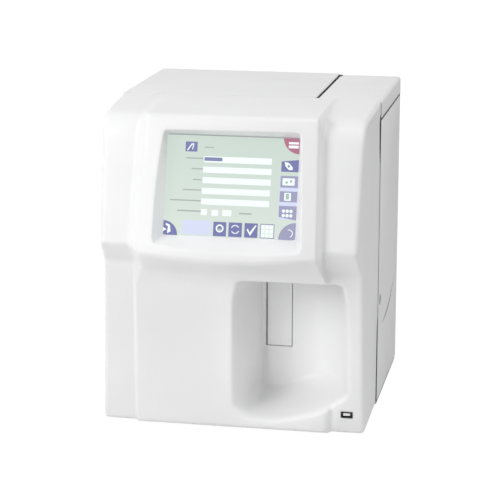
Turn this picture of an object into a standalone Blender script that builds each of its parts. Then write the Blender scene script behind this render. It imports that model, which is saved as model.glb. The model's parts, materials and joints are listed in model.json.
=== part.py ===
# Hematology analyzer: a bench-top blood cell counter with a tilted touch screen over a sampling recess.
# Metres, +Z up. X runs to the viewer's right, -Y is the front, Z is zero under the feet.
# The origin lies under the middle of the whole analyzer.
import math

import bmesh
import bpy
from mathutils import Matrix, Vector

for old in list(bpy.data.objects):
    bpy.data.objects.remove(old, do_unlink=True)

parts = bpy.data.collections.new("hematology_analyzer")
cutters = bpy.data.collections.new("cutters")
bpy.context.scene.collection.children.link(parts)
bpy.context.scene.collection.children.link(cutters)

# Driving sizes of the case
body_width = 0.360
body_height = 0.430
housing_depth = 0.226
cover_reach = 0.1893
rear_reach = 0.010
foot_height = 0.008
lid_rise = 0.002
lid_fold_rise = 0.008

# Clearances and walls shared by all pieces
seat_gap = 0.0003
seam_gap = 0.0006
free_gap = 0.0010
overrun = 0.004
cover_wall = 0.0030
panel_wall = 0.0025
sheet = 0.0015

# Places worked out from the driving sizes
half_width = body_width / 2
floor_z = foot_height
under_folds = body_height - lid_fold_rise
seam_y = (cover_reach - housing_depth - rear_reach) / 2
rear_y = seam_y + housing_depth
round_sides = 24
full_round_share = 0.98
belt_round_share = 0.999
round_profile_share = 0.5


# Turns a distance in front of the seam and a height over the underside into world places
def ahead(distance):
    return seam_y - distance


def above(height):
    return floor_z + height


# Finishes, as seen on the analyzer
def finish(name, color, roughness, metallic=0.0):
    look = bpy.data.materials.new(name)
    look.use_nodes = True
    shader = look.node_tree.nodes["Principled BSDF"]
    shader.inputs["Base Color"].default_value = (*color, 1.0)
    shader.inputs["Roughness"].default_value = roughness
    shader.inputs["Metallic"].default_value = metallic
    look.diffuse_color = (*color, 1.0)
    return look


white_plastic = finish("white_plastic", (0.86, 0.86, 0.84), 0.45)
grey_plastic = finish("grey_plastic", (0.62, 0.63, 0.62), 0.5)
dark_plastic = finish("dark_plastic", (0.05, 0.05, 0.055), 0.45)
clear_plastic = finish("clear_plastic", (0.80, 0.86, 0.88), 0.15)
cream_plastic = finish("cream_plastic", (0.82, 0.79, 0.68), 0.4)
blue_plastic = finish("blue_plastic", (0.12, 0.22, 0.50), 0.4)
sheet_metal = finish("sheet_metal", (0.66, 0.67, 0.68), 0.4, 0.9)
polished_steel = finish("polished_steel", (0.75, 0.76, 0.77), 0.2, 1.0)
brass_metal = finish("brass_metal", (0.72, 0.57, 0.28), 0.3, 1.0)
screen_glass = finish("screen_glass", (0.78, 0.88, 0.82), 0.08)
foot_rubber = finish("foot_rubber", (0.03, 0.03, 0.03), 0.8)
circuit_green = finish("circuit_green", (0.04, 0.22, 0.10), 0.5)


# Puts a mesh in the scene as a named piece
def piece(name, mesh, look, place=(0, 0, 0)):
    obj = bpy.data.objects.new(name, mesh)
    obj.location = place
    mesh.materials.clear()
    mesh.materials.append(look)
    parts.objects.link(obj)
    return obj


# Makes a piece a tool for cutting or joining, left out of the analyzer itself
def as_tool(obj):
    if obj.name in parts.objects:
        parts.objects.unlink(obj)
    if obj.name not in cutters.objects:
        cutters.objects.link(obj)
    obj.hide_render = True
    obj.display_type = "WIRE"
    return obj


# Pieces of many sloping faces take the solver made for closed meshes
sloping_pieces = ("front_cover", "cover_hollow", "fan_rotor")


# Puts a turning piece's origin on its axis without moving the piece
def set_origin(obj, place):
    offset = Vector(place) - obj.location
    obj.data.transform(Matrix.Translation(-offset))
    obj.location = place
    return obj


# Adds one Boolean to a piece
def combine(target, tool, operation):
    as_tool(tool)
    step = target.modifiers.new(operation.lower(), "BOOLEAN")
    step.operation = operation
    step.solver = "MANIFOLD" if target.name in sloping_pieces else "EXACT"
    step.object = tool
    return target


def cut(target, *tools):
    for tool in tools:
        combine(target, tool, "DIFFERENCE")
    return target


def join(target, *tools):
    for tool in tools:
        combine(target, tool, "UNION")
    return target


# A mesh of its own from a bmesh, with the faces turned outwards
def mesh_from(name, bm, triangles=False):
    if triangles:
        bmesh.ops.triangulate(bm, faces=bm.faces)
    bmesh.ops.recalc_face_normals(bm, faces=bm.faces)
    mesh = bpy.data.meshes.new(name)
    bm.to_mesh(mesh)
    bm.free()
    return mesh


# A block between two corners, with an optional rounding of all edges
def block(name, low, high, look, rounding=0.0):
    bm = bmesh.new()
    bmesh.ops.create_cube(bm, size=1.0)
    extent = [max(high[i] - low[i], 0) for i in range(3)]
    centre = [(high[i] + low[i]) / 2 for i in range(3)]
    bmesh.ops.scale(bm, vec=extent, verts=bm.verts)
    obj = piece(name, mesh_from(name, bm), look, centre)
    if rounding > 0:
        soften(obj, rounding)
    return obj


def soften(obj, width, segments=2):
    edge = obj.modifiers.new("rounding", "BEVEL")
    edge.width = width
    edge.segments = segments
    edge.limit_method = "ANGLE"
    return obj


# Turns +Z to the wanted axis
def turned_to(axis):
    return Vector((0, 0, 1)).rotation_difference(Vector(axis)).to_matrix().to_4x4()


# A round bar between two points
def bar(name, start, end, radius, look, sides=round_sides, end_radius=None):
    line = Vector(end) - Vector(start)
    bm = bmesh.new()
    far = radius if end_radius is None else end_radius
    bmesh.ops.create_cone(bm, cap_ends=True, segments=sides, radius1=radius, radius2=far, depth=line.length)
    bmesh.ops.transform(bm, matrix=turned_to(line), verts=bm.verts)
    obj = piece(name, mesh_from(name, bm), look, (Vector(start) + Vector(end)) / 2)
    smooth(obj)
    return obj


def smooth(obj):
    obj.data.shade_smooth()
    obj.data.set_sharp_from_angle(angle=math.radians(35))


# A flat outline in the plane square to an axis, made thick between two places on that axis
def slab(name, outline, axis, low, high, look):
    flat = bpy.data.curves.new(name + "_outline", "CURVE")
    flat.dimensions = "2D"
    flat.fill_mode = "BOTH"
    flat.extrude = abs(high - low) / 2
    line = flat.splines.new("POLY")
    line.points.add(len(outline) - 1)
    for point, (u, v) in zip(line.points, outline):
        point.co = (u, v, 0, 1)
    line.use_cyclic_u = True
    guide = bpy.data.objects.new(name + "_outline", flat)
    cutters.objects.link(guide)
    bpy.context.view_layer.update()
    mesh = bpy.data.meshes.new_from_object(guide.evaluated_get(bpy.context.evaluated_depsgraph_get()))
    bpy.data.objects.remove(guide, do_unlink=True)
    bm = bmesh.new()
    bm.from_mesh(mesh)
    bmesh.ops.remove_doubles(bm, verts=bm.verts, dist=seat_gap / 100)
    middle = (high + low) / 2
    frames = {
        "X": Matrix(((0, 0, 1, middle), (1, 0, 0, 0), (0, 1, 0, 0), (0, 0, 0, 1))),
        "Y": Matrix(((1, 0, 0, 0), (0, 0, 1, middle), (0, 1, 0, 0), (0, 0, 0, 1))),
        "Z": Matrix(((1, 0, 0, 0), (0, 1, 0, 0), (0, 0, 1, middle), (0, 0, 0, 1))),
    }
    bmesh.ops.transform(bm, matrix=frames[axis], verts=bm.verts)
    bmesh.ops.recalc_face_normals(bm, faces=bm.faces)
    bm.to_mesh(mesh)
    bm.free()
    mesh.name = name
    return piece(name, mesh, look)


# A turned piece: its profile of (radius, height) runs down the outer side, about an axis through a place
def turned(name, profile, place, axis, look, sides=round_sides):
    mesh = bpy.data.meshes.new(name)
    points = [(radius, 0, height) for radius, height in profile]
    mesh.from_pydata(points, [(i, i + 1) for i in range(len(points) - 1)], [])
    obj = piece(name, mesh, look, place)
    obj.rotation_mode = "QUATERNION"
    obj.rotation_quaternion = Vector((0, 0, 1)).rotation_difference(Vector(axis))
    spin = obj.modifiers.new("turning", "SCREW")
    spin.steps = sides
    spin.render_steps = sides
    spin.use_merge_vertices = True
    spin.merge_threshold = seat_gap / 30
    return obj


# Corners of (u, v, radius) become an outline with round corners
def rounded(corners, steps):
    outline = []
    count = len(corners)
    for index in range(count):
        here = Vector(corners[index][:2])
        radius = corners[index][2]
        back = Vector(corners[index - 1][:2]) - here
        onward = Vector(corners[(index + 1) % count][:2]) - here
        if radius <= 0:
            outline.append(tuple(here))
            continue
        angle = back.angle(onward)
        run = radius / math.tan(angle / 2)
        middle = here + (back.normalized() + onward.normalized()).normalized() * radius / math.sin(angle / 2)
        first = here + back.normalized() * run - middle
        sweep = first.angle_signed(here + onward.normalized() * run - middle)
        for step in range(steps + 1):
            turn = Matrix.Rotation(-sweep * step / steps, 2)
            outline.append(tuple(middle + turn @ first))
    return outline


# The same corners moved in by a wall, one wall for each edge that starts at a corner
def moved_in(corners, walls):
    count = len(corners)
    area = sum(
        corners[i][0] * corners[(i + 1) % count][1] - corners[(i + 1) % count][0] * corners[i][1]
        for i in range(count)
    )
    side = 1 if area > 0 else -1
    lines = []
    for index in range(count):
        start = Vector(corners[index][:2])
        along = (Vector(corners[(index + 1) % count][:2]) - start).normalized()
        inward = Vector((-along.y, along.x)) * side
        lines.append((start + inward * walls[index], along))
    result = []
    for index in range(count):
        before, before_along = lines[index - 1]
        after, after_along = lines[index]
        cross = before_along.x * after_along.y - before_along.y * after_along.x
        offset = after - before
        reach = (offset.x * after_along.y - offset.y * after_along.x) / cross
        corner = before + before_along * reach
        radius = corners[index][2]
        if radius > 0:
            radius = max(radius - side * math.copysign(walls[index], cross), seat_gap)
        result.append((corner.x, corner.y, radius))
    return result


# Front cover: the pillars left and right, as (distance ahead of the seam, height, radius)
# A drop is measured down from the top of the case
pillar_foot_reach = 0.128
pillar_waist_reach = 0.131
pillar_waist_drop = 0.206
pillar_lip_reach = 0.162
pillar_lip_drop = 0.1744
pillar_bend_reach = 0.1225
pillar_bend_drop = 0.0085
pillar_top_rise = 0.0014
side_draft_share = 0.035
foot_edge_radius = 0.005
waist_radius = 0.020
lip_radius = 0.008
bend_radius = 0.038
side_edge_radius = 0.005
pillar_waist_height = body_height - pillar_waist_drop
pillar_lip_height = body_height - pillar_lip_drop
pillar_bend_height = body_height - pillar_bend_drop
pillar_top_height = body_height + pillar_top_rise

pillar_corners = [
    (-overrun, 0, 0),
    (pillar_foot_reach, 0, foot_edge_radius),
    (pillar_waist_reach, pillar_waist_height, waist_radius),
    (pillar_lip_reach, pillar_lip_height, lip_radius),
    (pillar_bend_reach, pillar_bend_height, bend_radius),
    (-overrun, pillar_top_height, 0),
]

# Front cover: the proud middle that holds the screen
hood_root_reach = 0.060
hood_root_drop = 0.214
hood_waist_reach = 0.120
hood_waist_drop = 0.225
hood_lip_reach = 0.180
hood_lip_drop = 0.183
hood_bend_reach = 0.137
hood_bend_drop = 0.0025
hood_top_rise = 0.002
hood_lip_radius = 0.009
hood_bend_radius = 0.008
hood_low_inset = 0.054
hood_high_inset = 0.0583
hood_side_draft_share = 0.27
hood_bow_low = 0.0108
hood_bow_high = 0.002
hood_lip_sag = 0.007
hood_edge_radius = 0.004
hood_columns = 12
hood_root_height = body_height - hood_root_drop
hood_waist_height = body_height - hood_waist_drop
hood_lip_height = body_height - hood_lip_drop
hood_bend_height = body_height - hood_bend_drop
hood_top_height = body_height + hood_top_rise
hood_half_low = half_width - hood_low_inset
hood_half_high = half_width - hood_high_inset

hood_corners = [
    (-overrun * 2, hood_root_height, 0),
    (hood_root_reach, hood_root_height, 0),
    (hood_waist_reach, hood_waist_height, waist_radius),
    (hood_lip_reach, hood_lip_height, hood_lip_radius),
    (hood_bend_reach, hood_bend_height, hood_bend_radius),
    (-overrun * 2, hood_top_height, 0),
]

# Front cover: the lower middle panel, a little proud of the pillars
apron_root_reach = 0.060
apron_foot_reach = 0.1355
apron_waist_reach = 0.1335
apron_top_drop = 0.216
apron_inset = 0.044
apron_step_slope_share = 0.9
apron_top_height = body_height - apron_top_drop
apron_half = half_width - apron_inset

apron_corners = [
    (apron_root_reach, seat_gap, 0),
    (apron_foot_reach, seat_gap, foot_edge_radius),
    (apron_waist_reach, apron_top_height, 0),
    (apron_root_reach, apron_top_height, 0),
]


def pillar_reach_at(height):
    if height < pillar_lip_height:
        share = height / pillar_waist_height
        return pillar_foot_reach + (pillar_waist_reach - pillar_foot_reach) * share
    share = (height - pillar_lip_height) / (pillar_bend_height - pillar_lip_height)
    return pillar_lip_reach + (pillar_bend_reach - pillar_lip_reach) * share


# Each point of a closed loop with the next one
def ring_pairs(loop):
    return [(loop[i], loop[(i + 1) % len(loop)]) for i in range(len(loop))]


# A side outline made wide, column by column, with its own half width at each place and its own bow
def side_body(name, corners, columns, steps, half_at, shift, wall=0.0):
    bm = bmesh.new()
    outline = rounded(corners, steps)
    ring = [bm.verts.new((-1, reach, height)) for reach, height in outline]
    edges = [bm.edges.new(pair) for pair in ring_pairs(ring)]
    bm.faces.new(ring)
    for column in range(columns):
        grown = bmesh.ops.extrude_edge_only(bm, edges=edges)
        fresh = [item for item in grown["geom"] if isinstance(item, bmesh.types.BMVert)]
        edges = [item for item in grown["geom"] if isinstance(item, bmesh.types.BMEdge)]
        bmesh.ops.translate(bm, verts=fresh, vec=(2 / columns, 0, 0))
    bmesh.ops.contextual_create(bm, geom=edges)
    for vert in bm.verts:
        across, reach, height = vert.co
        half = half_at(reach, height) - wall
        reach, height = shift(across, reach, height)
        vert.co = (across * half, ahead(reach), above(height))
    bmesh.ops.remove_doubles(bm, verts=bm.verts, dist=seat_gap / 100)
    return bm


def pillar_half(reach, height):
    return half_width - side_draft_share * max(reach, 0)


def hood_half(reach, height):
    share = (height - hood_lip_height) / (hood_bend_height - hood_lip_height)
    half = hood_half_low + (hood_half_high - hood_half_low) * share
    return half - hood_side_draft_share * max(reach - pillar_reach_at(height), 0)


def apron_half_at(reach, height):
    return apron_half - apron_step_slope_share * max(reach - pillar_reach_at(height), 0)


def straight(across, reach, height):
    return reach, height


def hood_bow(across, reach, height):
    swell = 1 - across * across
    if reach > hood_root_reach and height > hood_waist_height:
        share = min(max((height - hood_lip_height) / (hood_bend_height - hood_lip_height), 0), 1)
        depth = min((reach - hood_root_reach) / (hood_bend_reach - hood_root_reach), 1)
        reach += swell * depth * (hood_bow_low + (hood_bow_high - hood_bow_low) * share)
    if reach > pillar_lip_reach and height < pillar_lip_height + hood_lip_sag * 2:
        height -= swell * hood_lip_sag
    return reach, height


# The long side edges of a body are rounded, but not those at the seam
def round_side_edges(bm, radius, segments):
    edges = [
        edge
        for edge in bm.edges
        if edge.calc_face_angle(0) > math.radians(50)
        and abs(edge.verts[0].co.x) > hood_half_high / 2
        and abs(edge.verts[0].co.x - edge.verts[1].co.x) < cover_wall
        and max(edge.verts[0].co.y, edge.verts[1].co.y) < ahead(seam_gap)
    ]
    bmesh.ops.bevel(
        bm, geom=edges, offset=radius, segments=segments, profile=round_profile_share, affect="EDGES"
    )
    return bm


arc_steps = 4
edge_steps = 2


def cover_bodies(tag, wall):
    rear_wall = -overrun if wall > 0 else 0
    pillar_walls = [wall, wall, wall, wall, wall, rear_wall]
    hood_walls = [wall, wall, wall, wall, wall, rear_wall]
    apron_walls = [wall, wall, wall, wall]
    wide = side_body(tag + "_pillars", moved_in(pillar_corners, pillar_walls), 1, arc_steps,
                     pillar_half, straight, wall)
    middle = side_body(tag + "_hood", moved_in(hood_corners, hood_walls), hood_columns, arc_steps,
                       hood_half, hood_bow, wall)
    low = side_body(tag + "_apron", moved_in(apron_corners, apron_walls), 1, arc_steps,
                    apron_half_at, straight, wall)
    if wall <= 0:
        round_side_edges(wide, side_edge_radius, edge_steps)
        round_side_edges(middle, hood_edge_radius, edge_steps)
    return [
        piece(tag, mesh_from(tag, wide, True), white_plastic),
        piece(tag + "_hood", mesh_from(tag + "_hood", middle, True), white_plastic),
        piece(tag + "_apron", mesh_from(tag + "_apron", low, True), white_plastic),
    ]


# Screen place: its middle, its backward tilt and the window in the cover
screen_reach = 0.132
screen_drop = 0.097
screen_height = body_height - screen_drop
screen_tilt = math.radians(15)
window_side_room = 0.0915
window_width = body_width - window_side_room * 2
window_height = 0.134
funnel_depth = 0.040
funnel_top_flare = 0.005
funnel_low_flare = 0.029
funnel_left_high_flare = 0.002
funnel_left_low_flare = 0.013
funnel_right_high_flare = 0.008
funnel_right_low_flare = 0.019
glass_border = 0.0035
glass_thickness = 0.0020
gasket_thickness = 0.0010
flange_border = 0.012
flange_thickness = 0.0020
module_border = 0.005
module_thickness = 0.009
bracket_thickness = 0.0015

flange_front = -flange_thickness - gasket_thickness - seat_gap
flange_back = flange_front + flange_thickness

screen_frame = Matrix.Translation((0, ahead(screen_reach), above(screen_height))) @ Matrix.Rotation(
    -screen_tilt, 4, "X"
)


# A block given in the screen's own frame: across, depth behind the glass front, and up
def screen_block(name, half_across, half_up, near, far, look, rounding=0.0):
    obj = block(name, (-half_across, near, -half_up), (half_across, far, half_up), look, rounding)
    obj.matrix_world = screen_frame @ Matrix.Translation((0, (near + far) / 2, 0))
    return obj


# The window's funnel, from the flange out past the hood, with an optional wall round it
def funnel(name, wall):
    half_x = window_width / 2 + wall
    half_z = window_height / 2 + wall
    near = flange_back - flange_thickness / 4 if wall > 0 else overrun
    throat = (flange_front + flange_back) / 2
    inner = [(-half_x, -half_z), (half_x, -half_z), (half_x, half_z), (-half_x, half_z)]
    outer = [
        (-half_x - funnel_left_low_flare, -half_z - funnel_low_flare),
        (half_x + funnel_right_low_flare, -half_z - funnel_low_flare),
        (half_x + funnel_right_high_flare, half_z + funnel_top_flare),
        (-half_x - funnel_left_high_flare, half_z + funnel_top_flare),
    ]
    bm = bmesh.new()
    loops = []
    for corners, depth in ((inner, near), (inner, throat), (outer, -funnel_depth)):
        loops.append([bm.verts.new((x, depth, z)) for x, z in corners])
    for first, second in zip(loops, loops[1:]):
        for index in range(4):
            follow = (index + 1) % 4
            bm.faces.new((first[index], first[follow], second[follow], second[index]))
    bm.faces.new(loops[0])
    bm.faces.new(loops[-1])
    obj = piece(name, mesh_from(name, bm), white_plastic)
    obj.matrix_world = screen_frame
    soften(obj, hood_edge_radius)
    obj.modifiers.new("triangles", "TRIANGULATE")
    return obj


# Sampling recess: outline at the cover's front and on its back wall, as shares of its width and height
recess_left = -0.0035
recess_right_inset = 0.0260
recess_right = half_width - recess_right_inset
recess_bottom = 0.0100
recess_top_drop = 0.2275
recess_top = body_height - recess_top_drop
recess_back_reach = 0.045
recess_front_reach = 0.150
recess_steps = 7
recess_shares = (
    # front across, front up, back across, back up, and how straight the wall leans
    (0.06, 1.00, 0.26, 1.00, 0.50),
    (0.02, 0.975, 0.235, 0.985, 0.50),
    (0.005, 0.85, 0.235, 0.85, 0.50),
    (0.00, 0.58, 0.235, 0.58, 0.50),
    (0.01, 0.30, 0.235, 0.30, 0.50),
    (0.03, 0.08, 0.24, 0.17, 0.50),
    (0.07, 0.035, 0.26, 0.14, 0.55),
    (0.11, 0.02, 0.30, 0.13, 0.60),
    (0.24, 0.00, 0.36, 0.125, 0.65),
    (0.42, 0.005, 0.44, 0.125, 0.65),
    (0.58, 0.035, 0.52, 0.13, 0.60),
    (0.78, 0.085, 0.58, 0.14, 0.40),
    (0.90, 0.14, 0.61, 0.16, 0.30),
    (1.00, 0.21, 0.63, 0.22, 0.15),
    (1.00, 0.55, 0.635, 0.55, 0.10),
    (0.99, 0.94, 0.63, 0.94, 0.10),
    (0.975, 0.985, 0.62, 0.985, 0.10),
    (0.94, 1.00, 0.60, 1.00, 0.10),
    (0.50, 1.00, 0.45, 1.00, 0.50),
)


def recess(name, wall):
    middle = Vector(((recess_left + recess_right) / 2, (recess_bottom + recess_top) / 2))
    span = Vector((recess_right - recess_left, recess_top - recess_bottom))
    grow = Vector((1 + 2 * wall / span.x, 1 + 2 * wall / span.y))
    depth = recess_front_reach - recess_back_reach + wall
    bm = bmesh.new()
    loops = []
    for step in range(recess_steps + 1):
        along = math.sin(math.pi / 2 * step / recess_steps)
        loop = []
        for front_x, front_z, back_x, back_z, lean in recess_shares:
            inward = lean * along + (1 - lean) * (1 - math.sqrt(max(1 - along * along, 0)))
            x = recess_left + span.x * (front_x + (back_x - front_x) * inward)
            z = recess_bottom + span.y * (front_z + (back_z - front_z) * inward)
            x = middle.x + (x - middle.x) * grow.x
            z = middle.y + (z - middle.y) * grow.y
            loop.append(bm.verts.new((x, ahead(recess_front_reach - depth * along), above(z))))
        loops.append(loop)
    for first, second in zip(loops, loops[1:]):
        edges = [bm.edges.get(pair) or bm.edges.new(pair) for pair in ring_pairs(first)]
        edges += [bm.edges.get(pair) or bm.edges.new(pair) for pair in ring_pairs(second)]
        bmesh.ops.bridge_loops(bm, edges=edges)
    bm.faces.new(loops[0])
    bm.faces.new(loops[-1])
    return piece(name, mesh_from(name, bm, True), white_plastic)


# Sampling bar behind the recess: a hinged panel that the sample tube pushes
bar_left = 0.0318
bar_right = 0.0680
bar_low = 0.0918
bar_top_rise = 0.0010
bar_high = recess_top + bar_top_rise
bar_side_gap = 0.0009
bar_thickness = 0.0028
bar_pivot_reach = 0.0345
bar_pivot_drop = 0.0065
bar_pivot_height = recess_top - bar_pivot_drop
bar_pin_radius = 0.0015
bar_ear_radius = 0.0035
bar_ear_thickness = 0.0025
bar_middle = (bar_left + bar_right) / 2

# Needle line over the recess
needle_x = 0.050
needle_reach = 0.074
needle_hole_radius = 0.006

# USB socket low on the right pillar
usb_inset = 0.0231
usb_x = half_width - usb_inset
usb_height = 0.0258
usb_width = 0.0131
usb_rise = 0.0057
usb_depth = 0.0140
usb_wall = 0.0005
usb_tongue_rise = 0.0018
usb_reach = 0.1290

boss_radius = 0.0030
boss_inset = 0.0042


# The four bosses behind the flange that the display bracket is screwed to
def display_bosses(name, radius, near, far, look, sides=round_sides):
    made = []
    half_x = window_width / 2 + flange_border - boss_inset
    half_z = window_height / 2 + flange_border - boss_inset
    for index, (side_x, side_z) in enumerate(((-1, -1), (1, -1), (1, 1), (-1, 1))):
        x = side_x * half_x
        z = side_z * half_z
        made.append(bar(name + str(index), (x, near, z), (x, far, z), radius, look, sides))
        made[-1].matrix_world = screen_frame @ Matrix.Translation((x, (near + far) / 2, z))
        made[-1].rotation_mode = "XYZ"
        made[-1].data.transform(turned_to((0, 0, 1)))
    return made


display_back = glass_thickness + seat_gap * 2 + module_thickness

front_cover, hood, apron = cover_bodies("front_cover", 0)
join(front_cover, hood, apron)
cut(front_cover, block(
    "seam_trim", (-body_width, ahead(seam_gap / 2), -body_height), (body_width, rear_y, body_height * 2),
    white_plastic
))
hollow, hood_hollow, apron_hollow = cover_bodies("cover_hollow", cover_wall)
join(hollow, hood_hollow, apron_hollow)
flange = screen_block(
    "flange_block", window_width / 2 + flange_border, window_height / 2 + flange_border,
    flange_front, flange_back, white_plastic,
)
cut(hollow, funnel("funnel_wall", cover_wall), flange, recess("recess_wall", cover_wall))
cut(hollow, *display_bosses("boss_", boss_radius, flange_back - overrun / 4, display_back, white_plastic,
    12))
cut(front_cover, hollow, funnel("funnel_cut", 0.0), recess("recess_cut", 0.0))

bar_slot = block(
    "bar_slot",
    (bar_left, ahead(recess_back_reach + overrun / 4), above(bar_low)),
    (bar_right, ahead(recess_back_reach - cover_wall - overrun), above(bar_high + cover_wall + free_gap)),
    white_plastic,
)
needle_hole = bar(
    "needle_hole", (needle_x, ahead(needle_reach), above(recess_top - overrun)),
    (needle_x, ahead(needle_reach), above(recess_top + cover_wall + overrun)), needle_hole_radius,
    white_plastic,
)
usb_hole = block(
    "usb_hole",
    (usb_x - usb_width / 2 - seat_gap, ahead(usb_reach + overrun),
     above(usb_height - usb_rise / 2 - seat_gap)),
    (usb_x + usb_width / 2 + seat_gap, ahead(usb_reach - usb_depth),
     above(usb_height + usb_rise / 2 + seat_gap)),
    white_plastic,
)
cut(front_cover, bar_slot, needle_hole, usb_hole)
tidy = front_cover.modifiers.new("tidy_edges", "WELD")
tidy.merge_threshold = seat_gap / 4
smooth(front_cover)

# Display: gasket, touch glass, module and its bracket, stacked behind the flange
glass_half_x = window_width / 2 + glass_border
glass_half_z = window_height / 2 + glass_border
display_gasket = screen_block(
    "display_gasket", glass_half_x, glass_half_z, flange_back + seat_gap / 2, -seat_gap / 2, dark_plastic
)
gasket_window = screen_block(
    "gasket_window", glass_half_x - glass_border / 2, glass_half_z - glass_border / 2,
    flange_front - overrun, overrun, dark_plastic,
)
cut(display_gasket, gasket_window)
touch_glass = screen_block("touch_glass", glass_half_x, glass_half_z, 0, glass_thickness, screen_glass)
module_half_x = window_width / 2 + module_border - free_gap
module_half_z = window_height / 2 + module_border - free_gap
module_front = glass_thickness + seat_gap
module_back = module_front + module_thickness
display_module = screen_block(
    "display_module", module_half_x, module_half_z, module_front, module_back, sheet_metal, sheet / 2
)
bracket_front = module_back + seat_gap
display_bracket = screen_block(
    "display_bracket", window_width / 2 + flange_border, window_height / 2 + flange_border,
    bracket_front, bracket_front + bracket_thickness, sheet_metal,
)
bracket_window_share = 0.62
bracket_window = screen_block(
    "bracket_window", module_half_x * bracket_window_share, module_half_z * bracket_window_share,
    bracket_front - overrun, bracket_front + overrun, sheet_metal,
)
cut(display_bracket, bracket_window)
display_board_rise = 0.006
join(display_module, screen_block(
    "display_board", module_half_x * bracket_window_share / 2, module_half_z * bracket_window_share / 2,
    module_back - bracket_thickness, module_back + display_board_rise, sheet_metal,
))

# Front frame: a sheet-metal plate just behind the front cover, with a portal for the needle carriage
frame_front_y = seam_y + seam_gap
frame_back_y = frame_front_y + sheet
frame_left_x = -half_width + panel_wall + seat_gap
frame_right_inset = 0.018
frame_right_x = half_width - frame_right_inset
frame_low = 0.0022
frame_high = under_folds - seat_gap
portal_left_inset = 0.030
portal_side_room = 0.058
portal_low_drop = 0.224
portal_high_drop = 0.018
portal_left = -half_width + portal_left_inset
portal_right = needle_x + portal_side_room
portal_low = body_height - portal_low_drop
portal_high = body_height - portal_high_drop
front_frame = block(
    "front_frame", (frame_left_x, frame_front_y, above(frame_low)),
    (frame_right_x, frame_back_y, above(frame_high)), sheet_metal,
)
cut(front_frame, block(
    "frame_portal", (portal_left, frame_front_y - overrun, above(portal_low)),
    (portal_right, frame_back_y + overrun, above(portal_high)), sheet_metal,
))

# Base pan with upturned edges, under the whole housing
pan_right_x = half_width - seam_gap
pan_flange = 0.014
rear_panel_front_y = rear_y - sheet
pan_front_y = frame_back_y + seat_gap
pan_back_y = rear_panel_front_y - seat_gap
base_pan = block("base_pan", (frame_left_x, pan_front_y, floor_z),
    (pan_right_x, pan_back_y, above(sheet)), sheet_metal)
pan_left_edge = block(
    "pan_left_edge", (frame_left_x, pan_front_y, floor_z),
    (frame_left_x + sheet, pan_back_y, above(pan_flange)),
    sheet_metal,
)
pan_right_edge = block(
    "pan_right_edge", (frame_right_x - sheet, pan_front_y, floor_z),
    (frame_right_x, pan_back_y, above(pan_flange)), sheet_metal,
)
join(base_pan, pan_left_edge, pan_right_edge)

# Four rubber feet, well in from the edges
foot_radius = 0.011
foot_edge_inset = 0.052
foot_front_reach = 0.045
foot_places = [
    (side * (half_width - foot_edge_inset), y)
    for side in (-1, 1)
    for y in (ahead(foot_front_reach), rear_y - foot_edge_inset)
]
foot_taper_share = 0.9
for index, (foot_x, foot_y) in enumerate(foot_places):
    bar(
        "foot_" + str(index + 1), (foot_x, foot_y, 0), (foot_x, foot_y, floor_z - seat_gap),
        foot_radius * foot_taper_share, foot_rubber, end_radius=foot_radius,
    )

# Rear panel, with the post that carries the door hinges
rear_low = sheet + seat_gap
rear_high = under_folds - seat_gap
post_width = 0.006
post_depth = 0.022
fan_left_room = 0.075
fan_drop = 0.100
fan_x = -half_width + fan_left_room
fan_height = body_height - fan_drop
fan_size = 0.080
fan_bore = 0.038
fan_depth = 0.025
inlet_left_room = 0.055
inlet_x = -half_width + inlet_left_room
inlet_height = 0.060
inlet_width = 0.0275
inlet_rise = 0.0220
inlet_depth = 0.022
switch_width = 0.0140
switch_rise = 0.0220
switch_depth = 0.018
switch_x = inlet_x + (inlet_width + switch_width) / 2
port_height = 0.150
serial_left_room = 0.075
port_pitch = 0.045
serial_x = -half_width + serial_left_room
network_x = serial_x + port_pitch
network_width = 0.0160
network_rise = 0.0135
network_depth = 0.0190
serial_width = 0.0310
serial_rise = 0.0125
serial_depth = 0.0110
fitting_low = 0.085
fitting_pitch = 0.030
fitting_x = 0.040
fitting_radius = 0.0060
fitting_count = 4
vent_count = 9
vent_pitch = 0.008
vent_height = 0.0030
vent_width = 0.070
vent_x = 0.045
vent_drop = 0.140
vent_low = body_height - vent_drop

rear_panel = block(
    "rear_panel", (frame_left_x, rear_panel_front_y, above(rear_low)),
    (frame_right_x, rear_y, above(rear_high)),
    sheet_metal,
)
join(rear_panel, block(
    "hinge_post", (frame_right_x - post_width, rear_y - post_depth, above(pan_flange + free_gap)),
    (frame_right_x, rear_y - sheet / 2, above(rear_high)), sheet_metal,
))


# A straight cut through the rear panel
def rear_window(name, x, height, width, rise):
    return block(
        name, (x - width / 2 - seat_gap, rear_panel_front_y - overrun, above(height - rise / 2 - seat_gap)),
        (x + width / 2 + seat_gap, rear_y + overrun, above(height + rise / 2 + seat_gap)), sheet_metal,
    )


def rear_bore(name, x, height, radius):
    return bar(
        name, (x, rear_panel_front_y - overrun, above(height)), (x, rear_y + overrun, above(height)), radius,
        sheet_metal,
    )


fitting_heights = [fitting_low + fitting_pitch * index for index in range(fitting_count)]
cut(rear_panel, rear_bore("fan_opening", fan_x, fan_height, fan_bore))
cut(rear_panel, rear_window("inlet_opening", inlet_x, inlet_height, inlet_width, inlet_rise))
cut(rear_panel, rear_window("switch_opening", switch_x, inlet_height, switch_width, switch_rise))
cut(rear_panel, rear_window("network_opening", network_x, port_height, network_width, network_rise))
cut(rear_panel, rear_window("serial_opening", serial_x, port_height, serial_width, serial_rise))
for index, height in enumerate(fitting_heights):
    cut(rear_panel, rear_bore("fitting_opening_" + str(index), fitting_x, height, fitting_radius + seat_gap))
for index in range(vent_count):
    cut(rear_panel, rear_window(
        "vent_" + str(index), vent_x, vent_low + vent_pitch * index, vent_width, vent_height
    ))

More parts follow.
